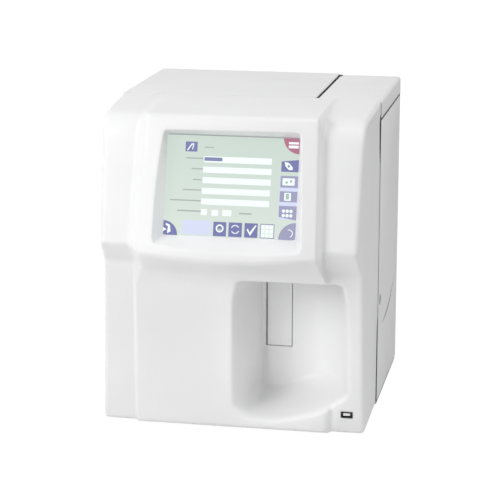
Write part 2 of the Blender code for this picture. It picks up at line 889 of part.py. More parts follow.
# Left cover: left side and lid in one, folded down along the seam
lid_seam_inset = 0.0904
lid_seam_x = half_width - lid_seam_inset
cover_corner_radius = 0.0040
fold_radius = 0.0018
cover_low = 0.0003
lid_top = body_height + lid_rise
lid_outline = rounded(
    [
        (-half_width, above(cover_low), 0),
        (-half_width, above(lid_top), cover_corner_radius),
        (lid_seam_x, above(lid_top), fold_radius),
        (lid_seam_x, above(lid_top - lid_fold_rise), 0),
        (lid_seam_x - panel_wall, above(lid_top - lid_fold_rise), 0),
        (lid_seam_x - panel_wall, above(lid_top - panel_wall), 0),
        (-half_width + panel_wall, above(lid_top - panel_wall), cover_corner_radius - panel_wall),
        (-half_width + panel_wall, above(cover_low), 0),
    ],
    arc_steps,
)
cover_front_y = seam_y + seam_gap / 2
left_cover = slab("left_cover", lid_outline, "Y", cover_front_y, rear_y, white_plastic)

# Right top cover: top strip and the fixed strip over the door
top_seam_gap = 0.0024
right_seam_x = lid_seam_x + top_seam_gap
door_drop = 0.0255
door_top = body_height - door_drop
strip_low = door_top + free_gap
strip_return = 0.011
right_outline = rounded(
    [
        (right_seam_x, above(body_height - lid_fold_rise), 0),
        (right_seam_x, above(body_height), fold_radius),
        (half_width, above(body_height), cover_corner_radius),
        (half_width, above(strip_low), 0),
        (half_width - strip_return, above(strip_low), 0),
        (half_width - strip_return, above(strip_low + sheet), 0),
        (half_width - panel_wall, above(strip_low + sheet), 0),
        (half_width - panel_wall, above(body_height - panel_wall), 0),
        (right_seam_x + panel_wall, above(body_height - panel_wall), 0),
        (right_seam_x + panel_wall, above(body_height - lid_fold_rise), 0),
    ],
    arc_steps,
)
right_top_cover = slab("right_top_cover", right_outline, "Y", cover_front_y, rear_y, white_plastic)

# Rail under the seam of the two top covers
rail_width = 0.014
rail_rise = 0.0037
rail_high = under_folds - seat_gap
rail_low = rail_high - rail_rise
rail_middle_x = (lid_seam_x + right_seam_x) / 2
top_rail = block(
    "top_rail", (rail_middle_x - rail_width / 2, frame_back_y + seat_gap, above(rail_low)),
    (rail_middle_x + rail_width / 2, rear_panel_front_y - seat_gap, above(rail_high)), sheet_metal,
)
cut(top_rail, block(
    "rail_channel", (rail_middle_x - rail_width / 2 + sheet, frame_back_y - overrun,
     above(rail_low - overrun)),
    (rail_middle_x + rail_width / 2 - sheet, rear_y + overrun, above(rail_high - sheet)), sheet_metal,
))

# Bulkhead between the electronics on the left and the fluidics on the right
bulkhead_x = -0.0100
bulkhead_foot = 0.012
bulkhead_low = sheet + seat_gap
bulkhead_high = frame_high
bulkhead_front_y = frame_back_y + seat_gap
bulkhead_back_y = rear_panel_front_y - seat_gap
bulkhead_right_x = bulkhead_x + sheet
bulkhead = block(
    "bulkhead", (bulkhead_x, bulkhead_front_y, above(bulkhead_low)),
    (bulkhead_right_x, bulkhead_back_y, above(bulkhead_high)), sheet_metal,
)
join(bulkhead, block(
    "bulkhead_foot", (bulkhead_x - bulkhead_foot, bulkhead_front_y, above(bulkhead_low)),
    (bulkhead_right_x, bulkhead_back_y, above(bulkhead_low + sheet)), sheet_metal,
))

# Side door on the right: a shell with returns, hinged on the upright edge at the rear
door_low = 0.0040
door_return = 0.012
door_skin = 0.0026
door_rim = 0.0022
door_edge_radius = 0.0012
door_front_y = seam_y + seam_gap + seat_gap
door_back_y = rear_y - seam_gap
hinge_x = half_width - 0.0075
hinge_y = rear_y - 0.0075
pin_radius = 0.0020
pin_play = 0.00025
knuckle_radius = 0.0042
knuckle_rise = 0.0030
ear_rise = 0.0025
ear_play = 0.0004
notch_play = 0.0030
hinge_low = 0.060
hinge_drop = 0.085
hinge_heights = (hinge_low, body_height - hinge_drop)
lock_from_front = 0.022
lock_height = 0.147
lock_radius = 0.0072
lock_play = 0.0004
lock_y = seam_y + lock_from_front
lock_face_x = half_width - seat_gap

side_door = block(
    "side_door", (half_width - door_return, door_front_y, above(door_low)),
    (half_width, door_back_y, above(door_top)), white_plastic, door_edge_radius,
)
door_pocket = block(
    "door_pocket", (half_width - door_return - overrun, door_front_y + door_rim, above(door_low + door_rim)),
    (half_width - door_skin, door_back_y - door_rim, above(door_top - door_rim)), white_plastic,
)
cut(side_door, door_pocket)
for index, height in enumerate(hinge_heights):
    notch_half = knuckle_rise / 2 + ear_rise + notch_play
    cut(side_door, block(
        "door_notch_" + str(index),
        (half_width - door_return - overrun, door_back_y - door_rim - overrun, above(height - notch_half)),
        (half_width - door_skin, door_back_y + overrun, above(height + notch_half)), white_plastic,
    ))
    for side in (-1, 1):
        near = height + side * (knuckle_rise / 2 + ear_play)
        far = near + side * ear_rise
        ear_outline = rounded(
            [
                (half_width - door_skin / 2, hinge_y - knuckle_radius, 0),
                (half_width - door_skin / 2, hinge_y + knuckle_radius, 0),
                (hinge_x - knuckle_radius, hinge_y + knuckle_radius, knuckle_radius * full_round_share),
                (hinge_x - knuckle_radius, hinge_y - knuckle_radius, knuckle_radius * full_round_share),
            ],
            arc_steps,
        )
        join(side_door, slab(
            "door_ear_" + str(index) + str(side), ear_outline, "Z", above(near), above(far), white_plastic
        ))
    cut(side_door, bar(
        "door_bore_" + str(index), (hinge_x, hinge_y, above(height - notch_half)),
        (hinge_x, hinge_y, above(height + notch_half)), pin_radius + pin_play, white_plastic, 16,
    ))
set_origin(side_door, (hinge_x, hinge_y, above(door_low)))
cut(side_door, bar(
    "lock_bore", (half_width - door_return, lock_y, above(lock_height)),
    (half_width + overrun, lock_y, above(lock_height)), lock_radius + lock_play, white_plastic,
))

# Curved finger groove low on the door
groove_start = 0.050
groove_end_room = 0.071
groove_length = housing_depth - groove_end_room
groove_low = 0.105
groove_rise = 0.046
groove_width = 0.0032
groove_depth = 0.0013
groove_steps = 14
groove_curve = 2.6
groove_end_share = 0.15
lower_edge = []
upper_edge = []
for step in range(groove_steps + 1):
    share = step / groove_steps
    y = seam_y + groove_start + groove_length * share
    z = above(groove_low + groove_rise * share ** groove_curve)
    spread = groove_width / 2 * (groove_end_share + math.sin(math.pi * share))
    lower_edge.append((y, z - spread))
    upper_edge.append((y, z + spread))
cut(side_door, slab(
    "door_groove", lower_edge + upper_edge[::-1], "X", half_width - groove_depth, half_width + overrun,
    white_plastic
))

# Hinge brackets on the rear post, each with its pin riveted in
for index, height in enumerate(hinge_heights):
    bracket_outline = rounded(
        [
            (frame_right_x + seat_gap, hinge_y - knuckle_radius, 0),
            (hinge_x + knuckle_radius, hinge_y - knuckle_radius, knuckle_radius * full_round_share),
            (hinge_x + knuckle_radius, hinge_y + knuckle_radius, knuckle_radius * full_round_share),
            (frame_right_x + seat_gap, hinge_y + knuckle_radius, 0),
        ],
        arc_steps,
    )
    bracket = slab(
        "hinge_bracket_" + str(index + 1), bracket_outline, "Z", above(height - knuckle_rise / 2),
        above(height + knuckle_rise / 2), sheet_metal,
    )
    pin_half = knuckle_rise / 2 + ear_play + ear_rise + free_gap / 2
    join(bracket, bar(
        "hinge_pin_" + str(index + 1), (hinge_x, hinge_y, above(height - pin_half)),
        (hinge_x, hinge_y, above(height + pin_half)), pin_radius, sheet_metal, 16,
    ))

# Quarter-turn lock in the door, with its cam and the keeper on the front frame
lock_body_depth = 0.0148
cam_thickness = 0.0018
cam_length = 0.0155
cam_half = 0.0045
slot_width = 0.0018
slot_length = 0.0110
slot_depth = 0.0016
cam_back_x = lock_face_x - lock_body_depth
door_lock = bar(
    "door_lock", (cam_back_x, lock_y, above(lock_height)), (lock_face_x, lock_y, above(lock_height)),
    lock_radius,
    grey_plastic,
)
join(door_lock, slab(
    "lock_cam", rounded(
        [
            (lock_y - cam_half, above(lock_height) - cam_half, 0),
            (lock_y + cam_half, above(lock_height) - cam_half, 0),
            (lock_y + cam_half, above(lock_height) + cam_length, cam_half * full_round_share),
            (lock_y - cam_half, above(lock_height) + cam_length, cam_half * full_round_share),
        ], arc_steps,
    ), "X", cam_back_x - cam_thickness, cam_back_x + seat_gap, grey_plastic,
))
cut(door_lock, block(
    "lock_slot", (lock_face_x - slot_depth, lock_y - slot_width / 2, above(lock_height) - slot_length / 2),
    (lock_face_x + overrun, lock_y + slot_width / 2, above(lock_height) + slot_length / 2), grey_plastic,
))
keeper_reach = 0.012
keeper_inner_x = frame_right_x - keeper_reach
keeper_lip_x = half_width - door_return - seat_gap
keeper_half = 0.022
keeper_depth = 0.0065
keeper_front_y = frame_back_y + seat_gap
keeper_step = door_front_y + door_rim + seat_gap - keeper_front_y
lock_keeper = slab(
    "lock_keeper", [
        (keeper_inner_x, keeper_front_y),
        (frame_right_x, keeper_front_y),
        (frame_right_x, keeper_front_y + keeper_step),
        (keeper_lip_x, keeper_front_y + keeper_step),
        (keeper_lip_x, keeper_front_y + keeper_step + keeper_depth),
        (keeper_lip_x - sheet, keeper_front_y + keeper_step + keeper_depth),
        (keeper_lip_x - sheet, keeper_front_y + keeper_step + sheet),
        (keeper_inner_x, keeper_front_y + keeper_step + sheet),
    ], "Z", above(lock_height - keeper_half), above(lock_height + keeper_half), sheet_metal,
)

# Sampling bar with its bracket, riveted pivot pin and start switch
bar_front_y = ahead(recess_back_reach)
bar_back_y = bar_front_y + bar_thickness
pivot_y = ahead(bar_pivot_reach)
ear_inset = 0.003
sampling_bar = block(
    "sampling_bar", (bar_left + bar_side_gap, bar_front_y, above(bar_low + bar_side_gap)),
    (bar_right - bar_side_gap, bar_back_y, above(bar_high)), white_plastic, bar_side_gap / 2,
)
for side, inner_x in ((-1, bar_left + ear_inset), (1, bar_right - ear_inset - bar_ear_thickness)):
    join(sampling_bar, slab(
        "bar_ear_" + str(side), rounded(
            [
                (bar_back_y - bar_thickness / 2, above(bar_pivot_height) - bar_ear_radius, 0),
                (pivot_y + bar_ear_radius, above(bar_pivot_height) - bar_ear_radius,
                 bar_ear_radius * full_round_share),
                (pivot_y + bar_ear_radius, above(bar_pivot_height) + bar_ear_radius,
                 bar_ear_radius * full_round_share),
                (bar_back_y - bar_thickness / 2, above(bar_pivot_height) + bar_ear_radius, 0),
            ], arc_steps,
        ), "X", inner_x, inner_x + bar_ear_thickness, white_plastic,
    ))
cut(sampling_bar, bar(
    "bar_bore", (bar_left, pivot_y, above(bar_pivot_height)), (bar_right, pivot_y, above(bar_pivot_height)),
    bar_pin_radius + pin_play, white_plastic, 16,
))
set_origin(sampling_bar, (bar_middle, pivot_y, above(bar_pivot_height)))
cheek_gap = 0.0025
cheek_thickness = 0.0020
bracket_rise = 0.018
bracket_depth = 0.0160
bracket_base_y = bar_front_y + cover_wall + seat_gap
bar_bracket = block(
    "bar_bracket",
    (bar_left - cheek_gap - cheek_thickness, bracket_base_y, above(bar_pivot_height - bracket_rise)),
    (bar_right + cheek_gap + cheek_thickness, bracket_base_y + bracket_depth,
     above(bar_pivot_height + bar_ear_radius)),
    sheet_metal,
)
cut(bar_bracket, block(
    "bar_bracket_room",
    (bar_left - cheek_gap, bracket_base_y - overrun, above(bar_pivot_height - bracket_rise - overrun)),
    (bar_right + cheek_gap, bracket_base_y + bracket_depth - sheet,
     above(bar_pivot_height + bar_ear_radius + overrun)),
    sheet_metal,
))
join(bar_bracket, bar(
    "bar_pin", (bar_left - cheek_gap - cheek_thickness / 2, pivot_y, above(bar_pivot_height)),
    (bar_right + cheek_gap + cheek_thickness / 2, pivot_y, above(bar_pivot_height)), bar_pin_radius,
    sheet_metal, 16,
))
switch_half = 0.010
switch_high = bar_pivot_height - bracket_rise - seat_gap
switch_body_rise = 0.020
plunger_radius = 0.0012
plunger_gap = 0.0016
switch_back_y = bracket_base_y + bracket_depth
start_switch = block(
    "start_switch", (bar_middle - switch_half / 2, switch_back_y - switch_half,
     above(switch_high - switch_body_rise)),
    (bar_middle + switch_half / 2, switch_back_y, above(switch_high)), dark_plastic,
)
plunger_height = switch_high - switch_body_rise / 2
join(start_switch, bar(
    "switch_plunger", (bar_middle, bar_back_y + plunger_gap, above(plunger_height)),
    (bar_middle, switch_back_y - switch_half / 2, above(plunger_height)), plunger_radius, dark_plastic, 12,
))

# Room along the right compartment: the shelf with its two chambers, then the syringes
chamber_radius = 0.0150
chamber_pitch = 0.038
shelf_margin = 0.006
syringe_count = 3
syringe_pitch = 0.024
front_room_share = 0.1548
rear_room_share = 0.4048
shelf_length = chamber_pitch + (chamber_radius + shelf_margin) * 2
syringe_length = syringe_pitch * syringe_count
spare_room = rear_panel_front_y - frame_back_y - shelf_length - syringe_length
shelf_back_y = frame_back_y + spare_room * front_room_share + shelf_length
syringe_front_y = rear_panel_front_y - spare_room * rear_room_share - syringe_length
far_y = shelf_back_y - shelf_margin - chamber_radius
needle_y = ahead(needle_reach)
carriage_half = 0.013

# Carriage beam: a plate beside the needle with two ears for the rods, held off the bulkhead by two arms
beam_x = 0.0200
beam_thickness = 0.0030
beam_low_drop = 0.134
beam_high_drop = 0.034
beam_low = body_height - beam_low_drop
beam_high = body_height - beam_high_drop
beam_front_reach = 0.096
beam_spare = 0.013
ear_width = 0.024
ear_depth = 0.006
beam_back_y = far_y + carriage_half + ear_depth + beam_spare
rod_radius = 0.0030
rod_play = 0.0003
rod_x = 0.0330
upper_rod_drop = 0.050
lower_rod_drop = 0.118
upper_rod_height = body_height - upper_rod_drop
lower_rod_height = body_height - lower_rod_drop
rod_heights = (upper_rod_height, lower_rod_height)
arm_depth = 0.012
arm_low_drop = 0.124
arm_high_drop = 0.044
arm_low = body_height - arm_low_drop
arm_high = body_height - arm_high_drop
beam_front_y = ahead(beam_front_reach)
carriage_beam = block(
    "carriage_beam", (beam_x, beam_front_y, above(beam_low)),
    (beam_x + beam_thickness, beam_back_y, above(beam_high)), sheet_metal,
)
for name, near_y in (("front", beam_front_y), ("back", beam_back_y - ear_depth)):
    join(carriage_beam, block(
        "beam_ear_" + name, (beam_x + beam_thickness / 2, near_y, above(beam_low)),
        (beam_x + ear_width, near_y + ear_depth, above(beam_high)), sheet_metal,
    ))
for name, near_y in (("front", bulkhead_front_y + arm_depth), ("back", beam_back_y - arm_depth * 4)):
    join(carriage_beam, block(
        "beam_arm_" + name, (bulkhead_right_x + seat_gap, near_y, above(arm_low)),
        (beam_x + beam_thickness / 2, near_y + arm_depth, above(arm_high)), sheet_metal,
    ))
for index, height in enumerate(rod_heights):
    cut(carriage_beam, bar(
        "beam_bore_" + str(index), (rod_x, beam_front_y - overrun, above(height)),
        (rod_x, beam_back_y + overrun, above(height)), rod_radius + rod_play, sheet_metal, 16,
    ))
    bar(
        "carriage_rod_" + str(index + 1), (rod_x, beam_front_y, above(height)),
        (rod_x, beam_back_y, above(height)),
        rod_radius, polished_steel, 16,
    )

# Carriage on the rods: an upright plate with bosses, top ear and rinse block
carriage_plate_x = 0.0400
carriage_plate_wall = 0.0030
boss_half_rise = 0.0075
carriage_low_drop = 0.220
carriage_high_drop = 0.022
carriage_low = body_height - carriage_low_drop
carriage_high = body_height - carriage_high_drop
block_outer_x = 0.0640
rinse_rise = 0.0140
top_ear_rise = 0.0050
guide_radius = 0.0025
guide_offset = 0.0080
needle_radius = 0.0010
needle_play = 0.0006
neck_radius = 0.0025
carriage_front_y = needle_y - carriage_half
carriage_back_y = needle_y + carriage_half
carriage = block(
    "carriage", (carriage_plate_x, carriage_front_y, above(carriage_low)),
    (carriage_plate_x + carriage_plate_wall, carriage_back_y, above(carriage_high)), cream_plastic,
)
for index, height in enumerate(rod_heights):
    join(carriage, block(
        "carriage_boss_" + str(index),
        (rod_x - boss_half_rise, carriage_front_y, above(height - boss_half_rise)),
        (carriage_plate_x + carriage_plate_wall / 2, carriage_back_y, above(height + boss_half_rise)),
        cream_plastic,
    ))
    cut(carriage, bar(
        "carriage_bore_" + str(index), (rod_x, carriage_front_y - overrun, above(height)),
        (rod_x, carriage_back_y + overrun, above(height)), rod_radius + rod_play, cream_plastic, 16,
    ))
for name, low, high in (
    ("rinse", carriage_low, carriage_low + rinse_rise),
    ("top", carriage_high - top_ear_rise, carriage_high),
):
    join(carriage, block(
        "carriage_ear_" + name, (carriage_plate_x + carriage_plate_wall / 2, carriage_front_y, above(low)),
        (block_outer_x, carriage_back_y, above(high)), cream_plastic,
    ))
guide_x = needle_x + guide_offset
guide_y = needle_y + guide_offset / 2
cut(carriage, bar(
    "rinse_bore", (needle_x, needle_y, above(carriage_low - overrun)),
    (needle_x, needle_y, above(carriage_low + rinse_rise + overrun)), needle_radius + needle_play,
    cream_plastic, 12,
))
join(carriage, bar(
    "needle_guide", (guide_x, guide_y, above(carriage_low + rinse_rise / 2)),
    (guide_x, guide_y, above(carriage_high - top_ear_rise / 2)), guide_radius, cream_plastic, 16,
))

# Needle and its holder on the guide
tip_lift = 0.004
needle_tip = carriage_low + tip_lift
holder_high = carriage_high - top_ear_rise - free_gap
holder_rise = 0.018
holder_wall = 0.004
hose_neck_rise = 0.006
holder_low = holder_high - hose_neck_rise - holder_rise
needle_holder = block(
    "needle_holder", (carriage_plate_x + carriage_plate_wall + free_gap, needle_y - holder_wall,
     above(holder_low)),
    (block_outer_x - free_gap, guide_y + guide_radius + holder_wall / 2, above(holder_low + holder_rise)),
    blue_plastic,
)
join(needle_holder, bar(
    "holder_neck", (needle_x, needle_y, above(holder_low + holder_rise - free_gap)),
    (needle_x, needle_y, above(holder_high)), neck_radius, blue_plastic, 16,
))
cut(needle_holder, bar(
    "holder_bore", (guide_x, guide_y, above(holder_low - overrun)),
    (guide_x, guide_y, above(holder_low + holder_rise + overrun)), guide_radius + rod_play, blue_plastic, 16,
))
bar(
    "sampling_needle", (needle_x, needle_y, above(needle_tip)),
    (needle_x, needle_y, above(holder_low - seat_gap)),
    needle_radius, polished_steel, 12,
)

# Needle motor on the far side of the carriage
small_motor = 0.020
small_motor_rise = 0.026
needle_motor = block(
    "needle_motor", (block_outer_x + seat_gap, needle_y - small_motor / 2,
     above(carriage_high - small_motor_rise)),
    (block_outer_x + seat_gap + small_motor, needle_y + small_motor / 2, above(carriage_high)),
    dark_plastic, sheet,
)

# Belt drive: motor behind the beam, a pulley at each end and the belt between them
pulley_radius = 0.0070
pulley_width = 0.0060
pulley_shaft = 0.0025
pulley_clear = 0.0006
belt_thickness = 0.0010
belt_width = 0.0046
belt_height = (upper_rod_height + lower_rod_height) / 2
pulley_x = beam_x + beam_thickness + pulley_clear
drive_y = beam_back_y - ear_depth - pulley_radius - belt_thickness - free_gap
idler_y = beam_front_y + ear_depth + pulley_radius + belt_thickness + free_gap
motor_square = 0.028
motor_length = 0.026


# A pulley on its shaft: the drive shaft runs through the beam, the idler's into it
def pulley(name, y, shaft_from_x):
    wheel = bar(
        name, (pulley_x, y, above(belt_height)), (pulley_x + pulley_width, y, above(belt_height)),
        pulley_radius,
        polished_steel,
    )
    join(wheel, bar(
        name + "_shaft", (shaft_from_x, y, above(belt_height)),
        (pulley_x + pulley_width / 2, y, above(belt_height)),
        pulley_shaft, polished_steel, 16,
    ))
    cut(carriage_beam, bar(
        name + "_bore", (beam_x - overrun, y, above(belt_height)),
        (beam_x + beam_thickness + overrun, y, above(belt_height)), pulley_shaft + pin_play, sheet_metal, 16,
    ))
    return wheel


pulley("drive_pulley", drive_y, beam_x - seat_gap)
pulley("idler_pulley", idler_y, beam_x)
carriage_motor = block(
    "carriage_motor", (beam_x - seat_gap * 2 - motor_length, drive_y - motor_square / 2,
                       above(belt_height) - motor_square / 2),
    (beam_x - seat_gap * 2, drive_y + motor_square / 2, above(belt_height) + motor_square / 2),
    dark_plastic, sheet,
)


def belt_loop(name, radius, low_x, high_x):
    top = above(belt_height) + radius
    bottom = above(belt_height) - radius
    return slab(name, rounded(
        [
            (idler_y - radius, bottom, radius * belt_round_share),
            (drive_y + radius, bottom, radius * belt_round_share),
            (drive_y + radius, top, radius * belt_round_share),
            (idler_y - radius, top, radius * belt_round_share),
        ], 6,
    ), "X", low_x, high_x, dark_plastic)


belt_x = pulley_x + (pulley_width - belt_width) / 2
carriage_belt = belt_loop("carriage_belt", pulley_radius + belt_thickness + seat_gap, belt_x,
    belt_x + belt_width)
cut(carriage_belt, belt_loop(
    "belt_inside", pulley_radius + seat_gap, belt_x - overrun, belt_x + belt_width + overrun
))
clamp_gap = 0.0003
clamp_rise = 0.0060
belt_top = belt_height + pulley_radius + seat_gap + belt_thickness
join(carriage, block(
    "belt_clamp", (belt_x, needle_y - clamp_rise, above(belt_top + clamp_gap)),
    (carriage_plate_x + carriage_plate_wall / 2, needle_y + clamp_rise,
     above(belt_top + clamp_gap + clamp_rise)),
    cream_plastic,
))

# Two counting chambers under the needle's far end, on a shelf from the bulkhead
chamber_bore = 0.0110
chamber_drop = 0.322
chamber_rise = 0.062
chamber_low = body_height - chamber_drop
chamber_high = chamber_low + chamber_rise
chamber_floor = 0.006
chamber_neck = 0.0040
chamber_neck_rise = 0.012
chamber_floor_share = 0.7
shelf_wall = 0.0020
chamber_ys = {"red_cell_chamber": far_y, "white_cell_chamber": far_y - chamber_pitch}
shelf_low = chamber_low - seat_gap - shelf_wall
for name, y in chamber_ys.items():
    turned(name, [
        (0, chamber_low + chamber_floor),
        (chamber_bore * chamber_floor_share, chamber_low + chamber_floor),
        (chamber_bore, chamber_low + chamber_floor * 2),
        (chamber_bore, chamber_high),
        (chamber_radius, chamber_high),
        (chamber_radius, chamber_low),
        (chamber_neck, chamber_low),
        (chamber_neck, chamber_low - chamber_neck_rise),
        (0, chamber_low - chamber_neck_rise),
    ], (needle_x, y, floor_z), (0, 0, 1), clear_plastic)
chamber_shelf = block(
    "chamber_shelf", (bulkhead_right_x + seat_gap, shelf_back_y - shelf_length, above(shelf_low)),
    (needle_x + chamber_radius + shelf_margin, shelf_back_y, above(shelf_low + shelf_wall)),
    sheet_metal,
)
join(chamber_shelf, block(
    "shelf_flange", (bulkhead_right_x + seat_gap, shelf_back_y - shelf_length, above(shelf_low)),
    (bulkhead_right_x + seat_gap + shelf_wall, shelf_back_y, above(chamber_high)),
    sheet_metal,
))
for name, y in chamber_ys.items():
    cut(chamber_shelf, bar(
        name + "_seat", (needle_x, y, above(shelf_low - overrun)), (needle_x, y, above(chamber_low)),
        chamber_neck + free_gap / 2, sheet_metal, 16,
    ))

# Haemoglobin photometer clipped to the white cell chamber's side
photometer_size = 0.022
photometer_y = far_y - chamber_pitch
photometer = block(
    "photometer", (needle_x + chamber_radius + seat_gap, photometer_y - photometer_size / 2,
     above(chamber_low)),
    (needle_x + chamber_radius + seat_gap + photometer_size, photometer_y + photometer_size / 2,
     above(chamber_low + photometer_size)), dark_plastic, sheet / 2,
)

# Syringe block on the bulkhead: three barrels, with the pistons on one plate below
syringe_bore = 0.0070
syringe_depth = 0.026
syringe_low = 0.150
syringe_high = 0.215
syringe_x = bulkhead_right_x + seat_gap
piston_travel = 0.030
piston_radius = 0.0060
piston_seal_rise = 0.008
rod_share = 0.5
plate_rise = 0.005
plate_low = 0.136
syringe_middle_x = syringe_x + syringe_depth / 2
syringe_ys = [syringe_front_y + syringe_pitch * (index + 0.5) for index in range(syringe_count)]
syringe_block = block(
    "syringe_block", (syringe_x, syringe_front_y, above(syringe_low)),
    (syringe_x + syringe_depth, syringe_front_y + syringe_length, above(syringe_high)), clear_plastic,
)
syringe_roof = 0.008
for index, y in enumerate(syringe_ys):
    cut(syringe_block, bar(
        "barrel_" + str(index), (syringe_middle_x, y, above(syringe_low - overrun)),
        (syringe_middle_x, y, above(syringe_high - syringe_roof)), syringe_bore, clear_plastic,
    ))
piston_top = syringe_high - syringe_roof - free_gap
syringe_pistons = block(
    "syringe_pistons", (syringe_x + free_gap, syringe_front_y, above(plate_low)),
    (syringe_x + syringe_depth, syringe_front_y + syringe_length, above(plate_low + plate_rise)),
    polished_steel,
)
for index, y in enumerate(syringe_ys):
    join(
        syringe_pistons,
        bar("piston_rod_" + str(index), (syringe_middle_x, y, above(plate_low + plate_rise / 2)),
            (syringe_middle_x, y, above(piston_top - piston_seal_rise / 2)), piston_radius * rod_share,
            polished_steel, 12),
        bar("piston_head_" + str(index), (syringe_middle_x, y, above(piston_top - piston_seal_rise)),
            (syringe_middle_x, y, above(piston_top)), piston_radius, polished_steel, 16),
    )
screw_radius = 0.0030
screw_y = syringe_ys[1] + syringe_pitch / 2
screw_x = syringe_middle_x
syringe_motor_square = 0.032
syringe_motor_gap = 0.006
syringe_motor_high = plate_low - piston_travel - syringe_motor_gap
syringe_motor_rise = 0.034
cut(syringe_pistons, bar(
    "screw_bore", (screw_x, screw_y, above(plate_low - overrun)),
    (screw_x, screw_y, above(plate_low + plate_rise + overrun)),
    screw_radius + pin_play * 2, polished_steel, 16,
))
bar(
    "syringe_screw", (screw_x, screw_y, above(syringe_motor_high + seat_gap)),
    (screw_x, screw_y, above(syringe_low - seat_gap)), screw_radius, brass_metal, 16,
)
syringe_motor = block(
    "syringe_motor", (syringe_x, screw_y - syringe_motor_square / 2,
     above(syringe_motor_high - syringe_motor_rise)),
    (syringe_x + syringe_motor_square, screw_y + syringe_motor_square / 2, above(syringe_motor_high)),
    dark_plastic, sheet,
)

# Valve bank above the syringes: one manifold with its coils standing out
valve_count = 6
valve_pitch = 0.0125
valve_low = 0.236
valve_rise = 0.030
manifold_depth = 0.014
coil_radius = 0.0055
coil_length = 0.024
valve_bank = block(
    "valve_bank", (syringe_x, syringe_front_y, above(valve_low)),
    (syringe_x + manifold_depth, syringe_front_y + valve_pitch * valve_count, above(valve_low + valve_rise)),
    clear_plastic,
)
for index in range(valve_count):
    coil_y = syringe_front_y + valve_pitch * (index + 0.5)
    join(valve_bank, bar(
        "valve_coil_" + str(index), (syringe_x + manifold_depth / 2, coil_y,
         above(valve_low + valve_rise / 2)),
        (syringe_x + manifold_depth + coil_length, coil_y, above(valve_low + valve_rise / 2)), coil_radius,
        blue_plastic, 12,
    ))

# Peristaltic drain pump on the bulkhead, with its roller head
pump_from_syringes = 0.040
pump_y = syringe_front_y + pump_from_syringes
pump_above_valves = 0.039
pump_square = 0.050
pump_height = valve_low + valve_rise + pump_above_valves + pump_square / 2
pump_depth = 0.024
pump_bore = 0.0200
pump_wall = 0.004
rotor_radius = 0.0085
roller_radius = 0.0045
roller_orbit = 0.0140
roller_count = 3
rotor_shaft = 0.0030
pump_x = syringe_x
drain_pump = block(
    "drain_pump", (pump_x, pump_y - pump_square / 2, above(pump_height - pump_square / 2)),
    (pump_x + pump_depth, pump_y + pump_square / 2, above(pump_height + pump_square / 2)), grey_plastic,
    sheet,
)
cut(
    drain_pump,
    bar("pump_room", (pump_x + pump_wall, pump_y, above(pump_height)),
        (pump_x + pump_depth + overrun, pump_y, above(pump_height)), pump_bore, grey_plastic),
    bar("pump_bore", (pump_x - overrun, pump_y, above(pump_height)),
        (pump_x + pump_depth, pump_y, above(pump_height)), rotor_shaft + rod_play, grey_plastic, 16),
)
pump_rotor = bar(
    "pump_rotor", (pump_x + pump_wall + free_gap, pump_y, above(pump_height)),
    (pump_x + pump_depth, pump_y, above(pump_height)), rotor_radius, cream_plastic,
)
join(pump_rotor, bar(
    "rotor_shaft", (pump_x + seat_gap, pump_y, above(pump_height)),
    (pump_x + pump_depth / 2, pump_y, above(pump_height)), rotor_shaft, cream_plastic, 16,
))
for index in range(roller_count):
    turn = 2 * math.pi * index / roller_count
    roller_y = pump_y + roller_orbit * math.cos(turn)
    roller_z = above(pump_height) + roller_orbit * math.sin(turn)
    join(pump_rotor, bar(
        "roller_" + str(index), (pump_x + pump_wall + free_gap, roller_y, roller_z),
        (pump_x + pump_depth - free_gap, roller_y, roller_z), roller_radius, cream_plastic, 12,
    ))
    join(pump_rotor, slab(
        "roller_arm_" + str(index), [
            (pump_y - roller_radius / 2 * math.sin(turn),
             above(pump_height) + roller_radius / 2 * math.cos(turn)),
            (pump_y + roller_radius / 2 * math.sin(turn),
             above(pump_height) - roller_radius / 2 * math.cos(turn)),
            (roller_y + roller_radius / 2 * math.sin(turn), roller_z - roller_radius / 2 * math.cos(turn)),
            (roller_y - roller_radius / 2 * math.sin(turn), roller_z + roller_radius / 2 * math.cos(turn)),
        ], "X", pump_x + pump_depth - free_gap * 4, pump_x + pump_depth - free_gap * 2, cream_plastic,
    ))

# Diluent tank standing on the pan in the right compartment
tank_width = 0.056
tank_length = 0.120
tank_rise = 0.085
tank_right_x = frame_right_x - sheet - free_gap
tank_front_y = pan_front_y + pan_flange
tank_neck = 0.012
tank_cap_rise = 0.014
diluent_tank = block(
    "diluent_tank", (tank_right_x - tank_width, tank_front_y, above(sheet + seat_gap)),
    (tank_right_x, tank_front_y + tank_length, above(sheet + tank_rise)), clear_plastic, overrun,
)
join(diluent_tank, bar(
    "tank_neck", (tank_right_x - tank_width / 2, tank_front_y + tank_length / 2, above(tank_rise - overrun)),
    (tank_right_x - tank_width / 2, tank_front_y + tank_length / 2, above(tank_rise + tank_cap_rise)),
    tank_neck,
    clear_plastic,
))

